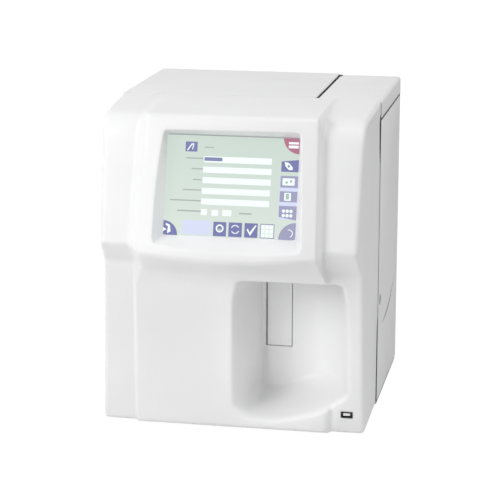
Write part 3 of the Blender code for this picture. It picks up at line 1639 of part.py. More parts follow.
# Vacuum pump and power supply on the pan in the left compartment
vacuum_radius = 0.027
vacuum_length = 0.078
vacuum_left_room = 0.070
vacuum_back = 0.062
vacuum_x = -half_width + vacuum_left_room
vacuum_y = seam_y + vacuum_back
supply_width = 0.085
supply_gap = 0.0115
supply_rise = 0.050
supply_right_x = bulkhead_x - bulkhead_foot - free_gap * 4
supply_front_y = vacuum_y + vacuum_radius + supply_gap
supply_back_y = rear_panel_front_y - inlet_depth - overrun
power_supply = block(
    "power_supply", (supply_right_x - supply_width, supply_front_y, above(sheet + seat_gap)),
    (supply_right_x, supply_back_y, above(sheet + supply_rise)), sheet_metal, sheet / 2,
)
vacuum_pump = bar(
    "vacuum_pump", (vacuum_x - vacuum_length / 2, vacuum_y, above(sheet + seat_gap + vacuum_radius)),
    (vacuum_x + vacuum_length / 2, vacuum_y, above(sheet + seat_gap + vacuum_radius)), vacuum_radius,
    dark_plastic,
)
join(vacuum_pump, block(
    "vacuum_base", (vacuum_x - vacuum_length / 3, vacuum_y - vacuum_radius, above(sheet + seat_gap)),
    (vacuum_x + vacuum_length / 3, vacuum_y + vacuum_radius, above(sheet + vacuum_radius / 2)), dark_plastic,
))

# Main board on pillars on the bulkhead's left face
board_stand = 0.006
board_wall = 0.0016
board_front = 0.030
board_rear_room = 0.030
board_front_y = seam_y + board_front
board_back_y = rear_y - board_rear_room
board_low = 0.110
board_drop = 0.140
board_high = body_height - board_drop
board_inset = 0.008
stand_radius = 0.003
chip_rise = 0.004
board_right_x = bulkhead_x - board_stand
main_board = block(
    "main_board", (board_right_x - board_wall, board_front_y, above(board_low)),
    (board_right_x, board_back_y, above(board_high)), circuit_green,
)
for corner_y in (board_front_y + board_inset, board_back_y - board_inset):
    for corner_z in (board_low + board_inset, board_high - board_inset):
        join(main_board, bar(
            "board_stand" + str(len(cutters.objects)),
            (board_right_x - board_wall / 2, corner_y, above(corner_z)),
            (bulkhead_x - seat_gap, corner_y, above(corner_z)), stand_radius, circuit_green, 12,
        ))
chip_shares = ((0.15, 0.20, 0.40, 0.45), (0.55, 0.25, 0.72, 0.42), (0.20, 0.60, 0.35, 0.85),
    (0.50, 0.62, 0.85, 0.72))
for low_y, low_z, high_y, high_z in chip_shares:
    board_span = Vector((board_back_y - board_front_y, board_high - board_low))
    join(main_board, block(
        "chip_" + str(len(cutters.objects)),
        (board_right_x - board_wall - chip_rise, board_front_y + board_span.x * low_y,
         above(board_low + board_span.y * low_z)),
        (board_right_x - board_wall / 2, board_front_y + board_span.x * high_y,
         above(board_low + board_span.y * high_z)),
        circuit_green,
    ))

# Fan inside the rear panel, its rotor, and the guard outside
fan_half = fan_size / 2
fan_back_y = rear_panel_front_y - seat_gap
fan_frame = block(
    "fan_frame", (fan_x - fan_half, fan_back_y - fan_depth, above(fan_height - fan_half)),
    (fan_x + fan_half, fan_back_y, above(fan_height + fan_half)), dark_plastic,
)
hub_radius = 0.016
strut_count = 3
strut_depth = 0.003
strut_half = 0.0025
blade_count = 7
blade_sweep = 0.50
blade_clear = 0.0012
blade_root_share = 0.9
cut(fan_frame, bar(
    "fan_room", (fan_x, fan_back_y - fan_depth - overrun, above(fan_height)),
    (fan_x, fan_back_y + overrun, above(fan_height)), fan_bore, dark_plastic, 32,
))
join(fan_frame, bar(
    "fan_hub_seat", (fan_x, fan_back_y - fan_depth, above(fan_height)),
    (fan_x, fan_back_y - fan_depth + strut_depth, above(fan_height)), hub_radius, dark_plastic,
))
for index in range(strut_count):
    turn = math.pi / 2 + 2 * math.pi * index / strut_count
    aim = Vector((math.cos(turn), math.sin(turn)))
    side = Vector((-aim.y, aim.x)) * strut_half
    middle = Vector((fan_x, above(fan_height)))
    inner = middle + aim * hub_radius * rod_share
    outer = middle + aim * (fan_bore + free_gap)
    join(fan_frame, slab(
        "fan_strut_" + str(index), [tuple(inner - side), tuple(outer - side), tuple(outer + side),
         tuple(inner + side)],
        "Y", fan_back_y - fan_depth, fan_back_y - fan_depth + strut_depth, dark_plastic,
    ))
rotor_front_y = fan_back_y - fan_depth + strut_depth + free_gap / 2
rotor_back_y = fan_back_y - free_gap * 2
fan_rotor = bar(
    "fan_rotor", (fan_x, rotor_front_y, above(fan_height)), (fan_x, rotor_back_y, above(fan_height)),
    hub_radius,
    dark_plastic,
)
for index in range(blade_count):
    turn = 2 * math.pi * index / blade_count
    middle = Vector((fan_x, above(fan_height)))
    rows = []
    for radius in (hub_radius * blade_root_share, fan_bore - blade_clear):
        for spread in (0, 1):
            angle = turn + blade_sweep * spread
            rows.append((middle.x + radius * math.cos(angle), middle.y + radius * math.sin(angle)))
    bm = bmesh.new()
    low_y = rotor_front_y + free_gap * 2
    high_y = rotor_back_y - free_gap * 2
    thick = strut_depth / 2
    near = [(rows[0][0], low_y, rows[0][1]), (rows[2][0], low_y, rows[2][1]),
            (rows[3][0], high_y - thick, rows[3][1]), (rows[1][0], high_y - thick, rows[1][1])]
    shell = [bm.verts.new(point) for point in near]
    bm.faces.new(shell)
    lifted = bmesh.ops.extrude_face_region(bm, geom=bm.faces[:], use_keep_orig=True)
    bmesh.ops.translate(
        bm, verts=[item for item in lifted["geom"] if isinstance(item, bmesh.types.BMVert)],
        vec=(0, thick, 0)
    )
    join(fan_rotor, piece("fan_blade_" + str(index), mesh_from("fan_blade", bm, True), dark_plastic))
guard_wall = 0.0015
guard_rings = 3
guard_edge = 0.0024
guard_hub_share = 0.5
fan_guard = bar(
    "fan_guard", (fan_x, rear_y + seat_gap, above(fan_height)),
    (fan_x, rear_y + seat_gap + guard_wall, above(fan_height)),
    fan_bore + overrun / 2, polished_steel, 24,
)
ring_gap = (fan_bore + overrun / 2) / (guard_rings + guard_hub_share)
for index in range(guard_rings):
    outer = fan_bore + overrun / 2 - guard_edge - ring_gap * index
    inner = outer - ring_gap + guard_wall
    ring = bar(
        "guard_gap_" + str(index), (fan_x, rear_y - overrun, above(fan_height)),
        (fan_x, rear_y + overrun, above(fan_height)), outer, polished_steel, 24,
    )
    cut(ring, bar(
        "guard_ring_" + str(index), (fan_x, rear_y - overrun * 2, above(fan_height)),
        (fan_x, rear_y + overrun * 2, above(fan_height)), inner, polished_steel, 24,
    ))
    for arm in range(2):
        turn = math.pi / 4 + math.pi / 2 * arm
        aim = Vector((math.cos(turn), math.sin(turn)))
        side = Vector((-aim.y, aim.x)) * guard_wall
        middle = Vector((fan_x, above(fan_height)))
        far = middle + aim * fan_size
        back = middle - aim * fan_size
        cut(ring, slab(
            "guard_arm_" + str(index) + str(arm),
            [tuple(back - side), tuple(far - side), tuple(far + side), tuple(back + side)], "Y",
            rear_y - overrun * 2, rear_y + overrun * 2, polished_steel,
        ))
    cut(fan_guard, ring)

# Power inlet with its three blades, and the rocker switch beside it
rim = 0.0020
rim_rise = 0.0020
socket_width = 0.0225
socket_rise = 0.0150
socket_depth = 0.0160
blade_half = 0.0010
blade_rise = 0.0040
blade_pitch = 0.0070
inlet_back_y = rear_y + rim_rise
power_inlet = block(
    "power_inlet", (inlet_x - inlet_width / 2, rear_y - inlet_depth, above(inlet_height - inlet_rise / 2)),
    (inlet_x + inlet_width / 2, inlet_back_y, above(inlet_height + inlet_rise / 2)), dark_plastic,
)
join(power_inlet, block(
    "inlet_rim", (inlet_x - inlet_width / 2 - rim, rear_y + seat_gap,
     above(inlet_height - inlet_rise / 2 - rim)),
    (inlet_x + inlet_width / 2 + rim, inlet_back_y, above(inlet_height + inlet_rise / 2 + rim)),
    dark_plastic,
))
cut(power_inlet, block(
    "inlet_socket", (inlet_x - socket_width / 2, inlet_back_y - socket_depth,
     above(inlet_height - socket_rise / 2)),
    (inlet_x + socket_width / 2, inlet_back_y + overrun, above(inlet_height + socket_rise / 2)),
    dark_plastic,
))
for side, lift in ((-1, -1), (0, 1), (1, -1)):
    blade_x = inlet_x + side * blade_pitch
    blade_z = above(inlet_height) + lift * blade_rise / 2
    join(power_inlet, block(
        "inlet_blade_" + str(side), (blade_x - blade_half, inlet_back_y - socket_depth - free_gap,
         blade_z - blade_rise / 2),
        (blade_x + blade_half, inlet_back_y - rim, blade_z + blade_rise / 2), dark_plastic,
    ))
join(power_inlet, block(
    "switch_housing",
    (switch_x - switch_width / 2 - rim / 2, rear_y - switch_depth, above(inlet_height - switch_rise / 2)),
    (switch_x + switch_width / 2, inlet_back_y, above(inlet_height + switch_rise / 2)), dark_plastic,
))
join(power_inlet, block(
    "switch_rim", (switch_x - switch_width / 2 - rim, rear_y + seat_gap,
     above(inlet_height - switch_rise / 2 - rim)),
    (switch_x + switch_width / 2 + rim, inlet_back_y, above(inlet_height + switch_rise / 2 + rim)),
    dark_plastic,
))
rocker_tilt = math.radians(9)
rocker_rise = 0.0170
rocker_width = switch_width - rim * 2
rocker_axis_depth = 0.0070
rocker_dish = 0.0033
rocker_dish_share = 0.35
rocker_steps = 8
rocker_axis_y = rear_y - rocker_axis_depth
cut(power_inlet, block(
    "switch_room",
    (switch_x - rocker_width / 2 - free_gap / 2, rocker_axis_y - rim * 3,
     above(inlet_height - rocker_rise / 2 - rim)),
    (switch_x + rocker_width / 2 + free_gap / 2, inlet_back_y + overrun,
     above(inlet_height + rocker_rise / 2 + rim)), dark_plastic,
))
rocker_outline = []
for step in range(rocker_steps + 1):
    share = step / rocker_steps * 2 - 1
    rocker_outline.append((
        rear_y + rim_rise + rocker_dish * (abs(share) - rocker_dish_share),
        above(inlet_height) + share * rocker_rise / 2,
    ))
rocker_outline += [
    (rocker_axis_y + rim, above(inlet_height) + rocker_rise / 2),
    (rocker_axis_y - rim, above(inlet_height) + rim),
    (rocker_axis_y - rim, above(inlet_height) - rim),
    (rocker_axis_y + rim, above(inlet_height) - rocker_rise / 2),
]
rocker_axis = Vector((rocker_axis_y, above(inlet_height)))
lean = Matrix.Rotation(rocker_tilt, 2)
rocker_outline = [tuple(rocker_axis + lean @ (Vector(point) - rocker_axis)) for point in rocker_outline]
power_rocker = slab(
    "power_rocker", rocker_outline, "X", switch_x - rocker_width / 2, switch_x + rocker_width / 2,
    dark_plastic
)
set_origin(power_rocker, (switch_x, rocker_axis_y, above(inlet_height)))


# A rectangular port through the rear panel, with its socket
def rear_port(name, x, width, rise, depth, wall, hollow_depth):
    port = block(
        name, (x - width / 2, rear_y - depth, above(port_height - rise / 2)),
        (x + width / 2, rear_y + rim_rise / 2, above(port_height + rise / 2)), sheet_metal,
    )
    cut(port, block(
        name + "_socket", (x - width / 2 + wall, rear_y + rim_rise / 2 - hollow_depth,
         above(port_height - rise / 2 + wall)),
        (x + width / 2 - wall, rear_y + overrun, above(port_height + rise / 2 - wall)), sheet_metal,
    ))
    return port


rear_port("network_port", network_x, network_width, network_rise, network_depth, rim, network_depth - rim)
rear_port("serial_port", serial_x, serial_width, serial_rise, serial_depth, rim, serial_depth - rim * 2)

# Reagent fittings: a strip inside the rear panel with four threaded stubs through it
strip_wall = 0.005
strip_half = 0.009
stub_bore = 0.0016
reagent_inlets = block(
    "reagent_inlets",
    (fitting_x - strip_half, rear_panel_front_y - seat_gap - strip_wall, above(fitting_low - strip_half)),
    (fitting_x + strip_half, rear_panel_front_y - seat_gap, above(fitting_heights[-1] + strip_half)),
    grey_plastic,
)
for index, height in enumerate(fitting_heights):
    join(
        reagent_inlets,
        bar("fitting_" + str(index), (fitting_x, rear_panel_front_y - strip_wall, above(height)),
            (fitting_x, rear_y + rear_reach * rod_share, above(height)), fitting_radius, grey_plastic, 12),
        bar("barb_" + str(index), (fitting_x, rear_y, above(height)),
            (fitting_x, rear_y + rear_reach, above(height)), fitting_radius * rod_share, grey_plastic, 8),
    )
    cut(reagent_inlets, bar(
        "fitting_bore_" + str(index), (fitting_x, rear_panel_front_y - strip_wall - overrun, above(height)),
        (fitting_x, rear_y + rear_reach + overrun, above(height)), stub_bore, grey_plastic, 8,
    ))

# USB socket low on the right pillar
usb_port = block(
    "usb_port", (usb_x - usb_width / 2, ahead(usb_reach - free_gap / 2), above(usb_height - usb_rise / 2)),
    (usb_x + usb_width / 2, ahead(usb_reach - usb_depth), above(usb_height + usb_rise / 2)), sheet_metal,
)
cut(usb_port, block(
    "usb_socket", (usb_x - usb_width / 2 + usb_wall, ahead(usb_reach + overrun),
     above(usb_height - usb_rise / 2 + usb_wall)),
    (usb_x + usb_width / 2 - usb_wall, ahead(usb_reach - usb_depth + free_gap),
     above(usb_height + usb_rise / 2 - usb_wall)),
    sheet_metal,
))
join(usb_port, block(
    "usb_tongue",
    (usb_x - usb_width / 2 + usb_wall * 3, ahead(usb_reach - free_gap * 2),
     above(usb_height + usb_rise / 2 - usb_wall * 2 - usb_tongue_rise)),
    (usb_x + usb_width / 2 - usb_wall * 3, ahead(usb_reach - usb_depth + free_gap / 2),
     above(usb_height + usb_rise / 2 - usb_wall * 2)),
    sheet_metal,
))
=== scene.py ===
import json
import math

import bmesh
import bpy
from mathutils import Matrix, Vector


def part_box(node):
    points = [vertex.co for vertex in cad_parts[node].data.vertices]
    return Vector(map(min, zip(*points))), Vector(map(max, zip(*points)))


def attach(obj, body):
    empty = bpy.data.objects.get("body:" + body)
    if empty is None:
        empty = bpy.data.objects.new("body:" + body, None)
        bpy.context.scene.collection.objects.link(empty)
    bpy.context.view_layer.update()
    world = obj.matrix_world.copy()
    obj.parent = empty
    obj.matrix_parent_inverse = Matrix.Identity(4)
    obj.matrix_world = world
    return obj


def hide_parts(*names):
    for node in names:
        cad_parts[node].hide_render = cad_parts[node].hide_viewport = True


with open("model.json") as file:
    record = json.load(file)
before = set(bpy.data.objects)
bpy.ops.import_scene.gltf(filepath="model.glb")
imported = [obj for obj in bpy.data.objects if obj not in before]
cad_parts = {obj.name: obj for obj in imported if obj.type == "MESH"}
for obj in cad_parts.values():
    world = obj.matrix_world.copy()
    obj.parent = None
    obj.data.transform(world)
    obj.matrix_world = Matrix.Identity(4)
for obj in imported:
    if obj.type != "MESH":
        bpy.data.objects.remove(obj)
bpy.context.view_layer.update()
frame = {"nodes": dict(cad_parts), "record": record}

# the seam between front cover and housing, the underside and the sides of the case, as the frame has them
seamGap = 0.0003
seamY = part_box("front_cover")[1].y + seamGap
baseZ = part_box("front_cover")[0].z
halfWidth = -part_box("left_cover")[0].x


def place(x, ahead, height):
    return Vector((x, seamY - ahead, baseZ + height))


def lerp(a, b, share):
    return a + (b - a) * share


def clamp(value, low=0.0, high=1.0):
    return min(max(value, low), high)


def ease(share):
    share = clamp(share)
    return share * share * (3 - 2 * share)


# the points or edges among what a bmesh operator made
def picked(result, kind):
    return [item for item in result["geom"] if isinstance(item, kind)]


def meshObject(name, bm, material, smooth=True):
    mesh = bpy.data.meshes.new(name)
    for face in bm.faces:
        face.smooth = smooth
    bm.to_mesh(mesh)
    bm.free()
    obj = bpy.data.objects.new(name, mesh)
    mesh.materials.append(material)
    bpy.context.scene.collection.objects.link(obj)
    return obj


def addModifier(obj, kind, **values):
    modifier = obj.modifiers.new(kind.lower(), kind)
    for key, value in values.items():
        setattr(modifier, key, value)
    return modifier


# camera first, at the photograph's viewing angle
cameraLook = {
    "spot": (0.4789, -2.4796, 0.8460), "turn": 0.1928, "pitch": 0.2440,
    "lens": 133.2, "sensor": 36, "far": 20,
}


def makeCamera():
    data = bpy.data.cameras.new("photoCamera")
    data.lens = cameraLook["lens"]
    data.sensor_width = cameraLook["sensor"]
    data.clip_end = cameraLook["far"]
    obj = bpy.data.objects.new("photoCamera", data)
    obj.location = cameraLook["spot"]
    obj.rotation_euler = (math.pi / 2 - cameraLook["pitch"], 0, cameraLook["turn"])
    bpy.context.scene.collection.objects.link(obj)
    bpy.context.scene.camera = obj


makeCamera()
print("camera set")


# materials: small helpers that every finish below is made with
def newMaterial(name):
    material = bpy.data.materials.new(name)
    material.use_nodes = True
    tree = material.node_tree
    return material, tree, tree.nodes["Principled BSDF"]


# gives a node its inputs: another node's socket is linked, anything else is set as the value
def setInputs(tree, node, inputs):
    for key, value in inputs.items():
        if isinstance(value, bpy.types.NodeSocket):
            tree.links.new(value, node.inputs[key])
        else:
            node.inputs[key].default_value = value


def addNode(tree, kind, inputs, family="ShaderNode", **settings):
    node = tree.nodes.new(family + kind)
    for key, value in settings.items():
        setattr(node, key, value)
    setInputs(tree, node, inputs)
    return node


def objectCoords(tree, scale=(1, 1, 1)):
    coords = addNode(tree, "TexCoord", {})
    return addNode(tree, "Mapping", {"Vector": coords.outputs["Object"], "Scale": scale}).outputs["Vector"]


def noise(tree, vector, scale, detail=3.0):
    return addNode(tree, "TexNoise", {"Vector": vector, "Scale": scale, "Detail": detail}).outputs["Fac"]


def ramp(tree, value, stops):
    node = addNode(tree, "ValToRGB", {"Fac": value})
    for element, (position, color) in zip(node.color_ramp.elements, stops):
        element.position = position
        element.color = (*color, 1)
    return node.outputs["Color"]


def spread(tree, value, low, high):
    return addNode(tree, "MapRange", {"Value": value, "To Min": low, "To Max": high}).outputs["Result"]


def bumped(tree, height, strength, distance):
    node = addNode(tree, "Bump", {"Height": height, "Strength": strength, "Distance": distance})
    return node.outputs["Normal"]


def scaled(color, share):
    return tuple(channel * share for channel in color)


# painted shade in a seam: darkens what lies between two places on each of the named axes, as the shade in a
# gap would
def paintSeamShade(tree, color, shadedSeams, seamShadeColor=(0.05, 0.05, 0.055)):
    split = addNode(tree, "SeparateXYZ", {"Vector": objectCoords(tree)})
    for seam in shadedSeams:
        inside = 1.0
        for axis, low, high in seam:
            for operation, limit in (("GREATER_THAN", low), ("LESS_THAN", high)):
                test = addNode(tree, "Math", {0: split.outputs[axis], 1: limit}, operation=operation)
                both = addNode(tree, "Math", {0: inside, 1: test.outputs["Value"]}, operation="MULTIPLY")
                inside = both.outputs["Value"]
        mix = addNode(tree, "Mix", {"Factor": inside, "A": color, "B": (*seamShadeColor, 1)}, data_type="RGBA")
        color = mix.outputs["Result"]
    return color


# moulded plastic: a fine spark-eroded grain, faint clouds of colour and slightly uneven gloss
def mouldedPlastic(name, color, rough=0.42, grain=0.12, cloud=0.012, shadedSeams=()):
    material, tree, shader = newMaterial(name)
    vector = objectCoords(tree)
    darker = tuple(max(channel - cloud, 0) for channel in color)
    lighter = tuple(min(channel + cloud, 1) for channel in color)
    plain = ramp(tree, noise(tree, vector, 9, 2), [(0.35, darker), (0.65, lighter)])
    setInputs(tree, shader, {
        # painted shade in the seams, where any are given
        "Base Color": paintSeamShade(tree, plain, shadedSeams) if shadedSeams else plain,
        "Roughness": spread(tree, noise(tree, vector, 60), rough - 0.04, rough + 0.04),
        "Normal": bumped(tree, noise(tree, vector, 2600, 2), grain, 0.00008),
        "Specular IOR Level": 0.45,
    })
    return material


# sheet metal: zinc spangle in the colour, a rolling direction in the gloss
def zincSheet(name, color, rough=0.38):
    material, tree, shader = newMaterial(name)
    cells = addNode(tree, "TexVoronoi", {"Vector": objectCoords(tree), "Scale": 140})
    lines = noise(tree, objectCoords(tree, (30, 900, 900)), 1.0, 2)
    setInputs(tree, shader, {
        "Base Color": ramp(tree, cells.outputs["Distance"], [(0.0, scaled(color, 0.86)), (0.8, color)]),
        "Roughness": spread(tree, lines, rough - 0.08, rough + 0.12),
        "Normal": bumped(tree, lines, 0.08, 0.00005),
        "Metallic": 0.9,
    })
    return material


# ground or turned metal: fine lines along one direction
def groundMetal(name, color, rough=0.2, lineScale=(1200, 1200, 20)):
    material, tree, shader = newMaterial(name)
    lines = noise(tree, objectCoords(tree, lineScale), 1.0)
    setInputs(tree, shader, {
        "Base Color": ramp(tree, lines, [(0.3, scaled(color, 0.9)), (0.7, color)]),
        "Roughness": spread(tree, lines, rough - 0.06, rough + 0.10),
        "Normal": bumped(tree, lines, 0.05, 0.00003),
        "Metallic": 1.0,
    })
    return material


def clearPlastic(name, color, rough=0.12, clear=0.55):
    material, tree, shader = newMaterial(name)
    vector = objectCoords(tree)
    streaks = noise(tree, vector, 35)
    setInputs(tree, shader, {
        "Base Color": ramp(tree, streaks, [(0.3, scaled(color, 0.93)), (0.7, color)]),
        "Roughness": spread(tree, streaks, rough - 0.04, rough + 0.08),
        "Normal": bumped(tree, noise(tree, vector, 220, 2), 0.03, 0.0001),
        "Transmission Weight": clear,
        "IOR": 1.49,
    })
    return material


def rubber(name, color):
    material, tree, shader = newMaterial(name)
    vector = objectCoords(tree)
    dust = noise(tree, vector, 160, 4)
    lighter = tuple(channel + 0.03 for channel in color)
    setInputs(tree, shader, {
        "Base Color": ramp(tree, dust, [(0.45, color), (0.75, lighter)]),
        "Roughness": spread(tree, dust, 0.72, 0.9),
        "Normal": bumped(tree, noise(tree, vector, 1800, 2), 0.25, 0.0001),
    })
    return material


# the board: green mask over copper lines
def circuitBoard(name):
    material, tree, shader = newMaterial(name)
    turn = addNode(tree, "VectorRotate", {"Vector": objectCoords(tree, (1, 220, 220)), "Angle": math.pi / 2},
                   rotation_type="Y_AXIS")
    bricks = addNode(tree, "TexBrick", {
        "Vector": turn.outputs["Vector"], "Scale": 1.0, "Mortar Size": 0.06, "Color1": (0.03, 0.20, 0.09, 1),
        "Color2": (0.04, 0.24, 0.11, 1), "Mortar": (0.10, 0.36, 0.18, 1)})
    setInputs(tree, shader, {
        "Base Color": bricks.outputs["Color"],
        "Roughness": spread(tree, bricks.outputs["Fac"], 0.35, 0.5),
        "Normal": bumped(tree, bricks.outputs["Fac"], 0.2, 0.0001),
    })
    return material


# a lit colour of the screen's picture, which turns into a second one upwards
def litColor(name, color, second=None, heights=(0.20, 0.48)):
    material, tree, shader = newMaterial(name)
    split = addNode(tree, "SeparateXYZ", {"Vector": objectCoords(tree)})
    upward = addNode(tree, "MapRange", {
        "Value": split.outputs["Z"], "From Min": heights[0], "From Max": heights[1]})
    other = second or tuple(min(channel * 1.06 + 0.01, 1) for channel in color)
    setInputs(tree, shader, {
        "Base Color": (0.02, 0.02, 0.02, 1),
        "Roughness": 0.25,
        "Emission Color": ramp(tree, upward.outputs["Result"], [(0.0, color), (1.0, other)]),
        "Emission Strength": 1.0,
    })
    return material


def whiteFinish(name, shadedSeams=()):
    return mouldedPlastic(name, (0.86, 0.86, 0.862), 0.42, 0.10, shadedSeams=shadedSeams)


whitePlastic = whiteFinish("whitePlastic")
slotFinishes = {
    "white_plastic": whitePlastic,
    "grey_plastic": mouldedPlastic("greyPlastic", (0.60, 0.61, 0.61), 0.45, 0.12),
    "dark_plastic": mouldedPlastic("darkPlastic", (0.035, 0.036, 0.04), 0.40, 0.18, 0.006),
    "clear_plastic": clearPlastic("clearPlastic", (0.84, 0.90, 0.92)),
    "cream_plastic": mouldedPlastic("creamPlastic", (0.80, 0.76, 0.64), 0.33, 0.05),
    "blue_plastic": mouldedPlastic("bluePlastic", (0.07, 0.15, 0.42), 0.33, 0.05),
    "sheet_metal": zincSheet("zincSheet", (0.68, 0.69, 0.70)),
    "polished_steel": groundMetal("groundSteel", (0.76, 0.77, 0.78)),
    "brass_metal": groundMetal("turnedBrass", (0.75, 0.58, 0.26), 0.25, (30, 30, 2600)),
    "screen_glass": litColor("screenGround", (0.665, 0.745, 0.68), (0.565, 0.665, 0.60),
                             (0.27, 0.41)),
    "foot_rubber": rubber("footRubber", (0.025, 0.025, 0.027)),
    "circuit_green": circuitBoard("circuitBoard"),
}
print("finishes made")


# CAD nodes keep their shape: their loose triangles are welded and shaded round where they bend gently
def softShading(weldDistance=0.000005, bendAngle=math.radians(32)):
    group = bpy.data.node_groups.new("softShading", "GeometryNodeTree")
    for way in ("INPUT", "OUTPUT"):
        group.interface.new_socket("Geometry", in_out=way, socket_type="NodeSocketGeometry")
    source = group.nodes.new("NodeGroupInput")
    weld = addNode(group, "MergeByDistance", {"Geometry": source.outputs[0], "Distance": weldDistance},
                   "GeometryNode")
    faces = addNode(group, "SetShadeSmooth", {"Geometry": weld.outputs["Geometry"]}, "GeometryNode")
    angle = addNode(group, "InputMeshEdgeAngle", {}, "GeometryNode")
    gentle = addNode(group, "Compare", {"A": angle.outputs["Unsigned Angle"], "B": bendAngle},
                     "FunctionNode", operation="LESS_THAN")
    edges = addNode(group, "SetShadeSmooth", {
        "Geometry": faces.outputs["Geometry"], "Shade Smooth": gentle.outputs["Result"]},
        "GeometryNode", domain="EDGE")
    setInputs(group, group.nodes.new("NodeGroupOutput"), {0: edges.outputs["Geometry"]})
    return group


# painted shade in the seams, in the door's groove and round its lock, placed by the pieces beside them: each
# one is a box, given by its limits on some axes
doorLow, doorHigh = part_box("side_door")
lockLow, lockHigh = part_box("door_lock")
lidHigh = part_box("left_cover")[1]
topLow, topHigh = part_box("right_top_cover")
doorSkin = ("X", doorHigh.x - 0.0016, doorHigh.x - 0.0001)
doorRim = ("X", doorHigh.x - 0.0030, doorHigh.x + 0.001)
# painted shade along the door's front and top edges, in its groove and round its lock
doorSeamShade = [
    [doorRim, ("Y", doorLow.y - 0.001, doorLow.y + 0.0012)],
    [doorRim, ("Z", doorHigh.z - 0.0013, doorHigh.z + 0.001)],
    [doorSkin, ("Y", doorLow.y + 0.045, doorHigh.y - 0.012), ("Z", baseZ + 0.100, baseZ + 0.160)],
    [doorSkin, ("Y", lockLow.y - 0.002, lockHigh.y + 0.002), ("Z", lockLow.z - 0.002, lockHigh.z + 0.002)],
]
# painted shade along the lid's edge at the gap, and along the top piece's edges
lidSeamShade = [[("X", lidHigh.x - 0.0004, lidHigh.x + 0.001), ("Z", topHigh.z - 0.02, topHigh.z)]]
topSeamShade = [
    [("X", topLow.x - 0.001, topLow.x + 0.0002)],
    [("Y", topLow.y - 0.001, topLow.y + 0.0003)],
    [("Z", topLow.z - 0.001, topLow.z + 0.0012)],
]
seamShadeFinishes = {
    "side_door": whiteFinish("doorPlasticSeamShade", doorSeamShade),
    "door_lock": mouldedPlastic("lockPlastic", (0.25, 0.255, 0.26), 0.4, 0.10),
    "left_cover": whiteFinish("lidPlasticSeamShade", lidSeamShade),
    "right_top_cover": whiteFinish("topPlasticSeamShade", topSeamShade),
    # the sheet-metal rail is made near black: painted shade, so that the gaps in front of it read dark
    "top_rail": mouldedPlastic("railPaintedShade", (0.03, 0.03, 0.032), 0.6, 0.2, 0.005),
}

shadingGroup = softShading()
slotOfNode = {row["node"]: row["material_slot"] for row in frame["record"]["subparts"]}
for nodeName, node in frame["nodes"].items():
    finishOfNode = seamShadeFinishes.get(nodeName) or slotFinishes[slotOfNode[nodeName]]
    node.data.materials.clear()
    node.data.materials.append(finishOfNode)
    addModifier(node, "NODES", node_group=shadingGroup)
print("finishes on", len(frame["nodes"]), "nodes")


# the round of a corner: its middle, the arms to where it starts and ends, and its sweep
def cornerArc(before, corner, after):
    here, radius = Vector(corner[:2]), corner[2]
    back = (Vector(before[:2]) - here).normalized()
    onward = (Vector(after[:2]) - here).normalized()
    half = back.angle(onward) / 2
    middle = here + (back + onward).normalized() * radius / math.sin(half)
    first, last = (here + arm * radius / math.tan(half) - middle for arm in (back, onward))
    return middle, first, last, first.angle_signed(last)


# a side profile: a line with round corners, straight on even steps and round on odd ones
def makeProfile(corners):
    pieces = []
    leaving = Vector(corners[0][:2])
    for before, corner, after in zip(corners, corners[1:], corners[2:]):
        middle, first, last, sweep = cornerArc(before, corner, after)
        pieces += [("line", leaving, middle + first), ("arc", middle, first, sweep)]
        leaving = middle + last
    pieces.append(("line", leaving, Vector(corners[-1][:2])))
    return pieces


def onProfile(profile, step):
    index = min(int(step), len(profile) - 1)
    part = step - index
    piece = profile[index]
    if piece[0] == "line":
        return piece[1].lerp(piece[2], part)
    return piece[1] + Matrix.Rotation(-piece[3] * part, 2) @ piece[2]


def readTable(table, at):
    for (low, lowValue), (high, highValue) in zip(table, table[1:]):
        if at <= high:
            return lerp(lowValue, highValue, (at - low) / (high - low))
    return table[-1][1]


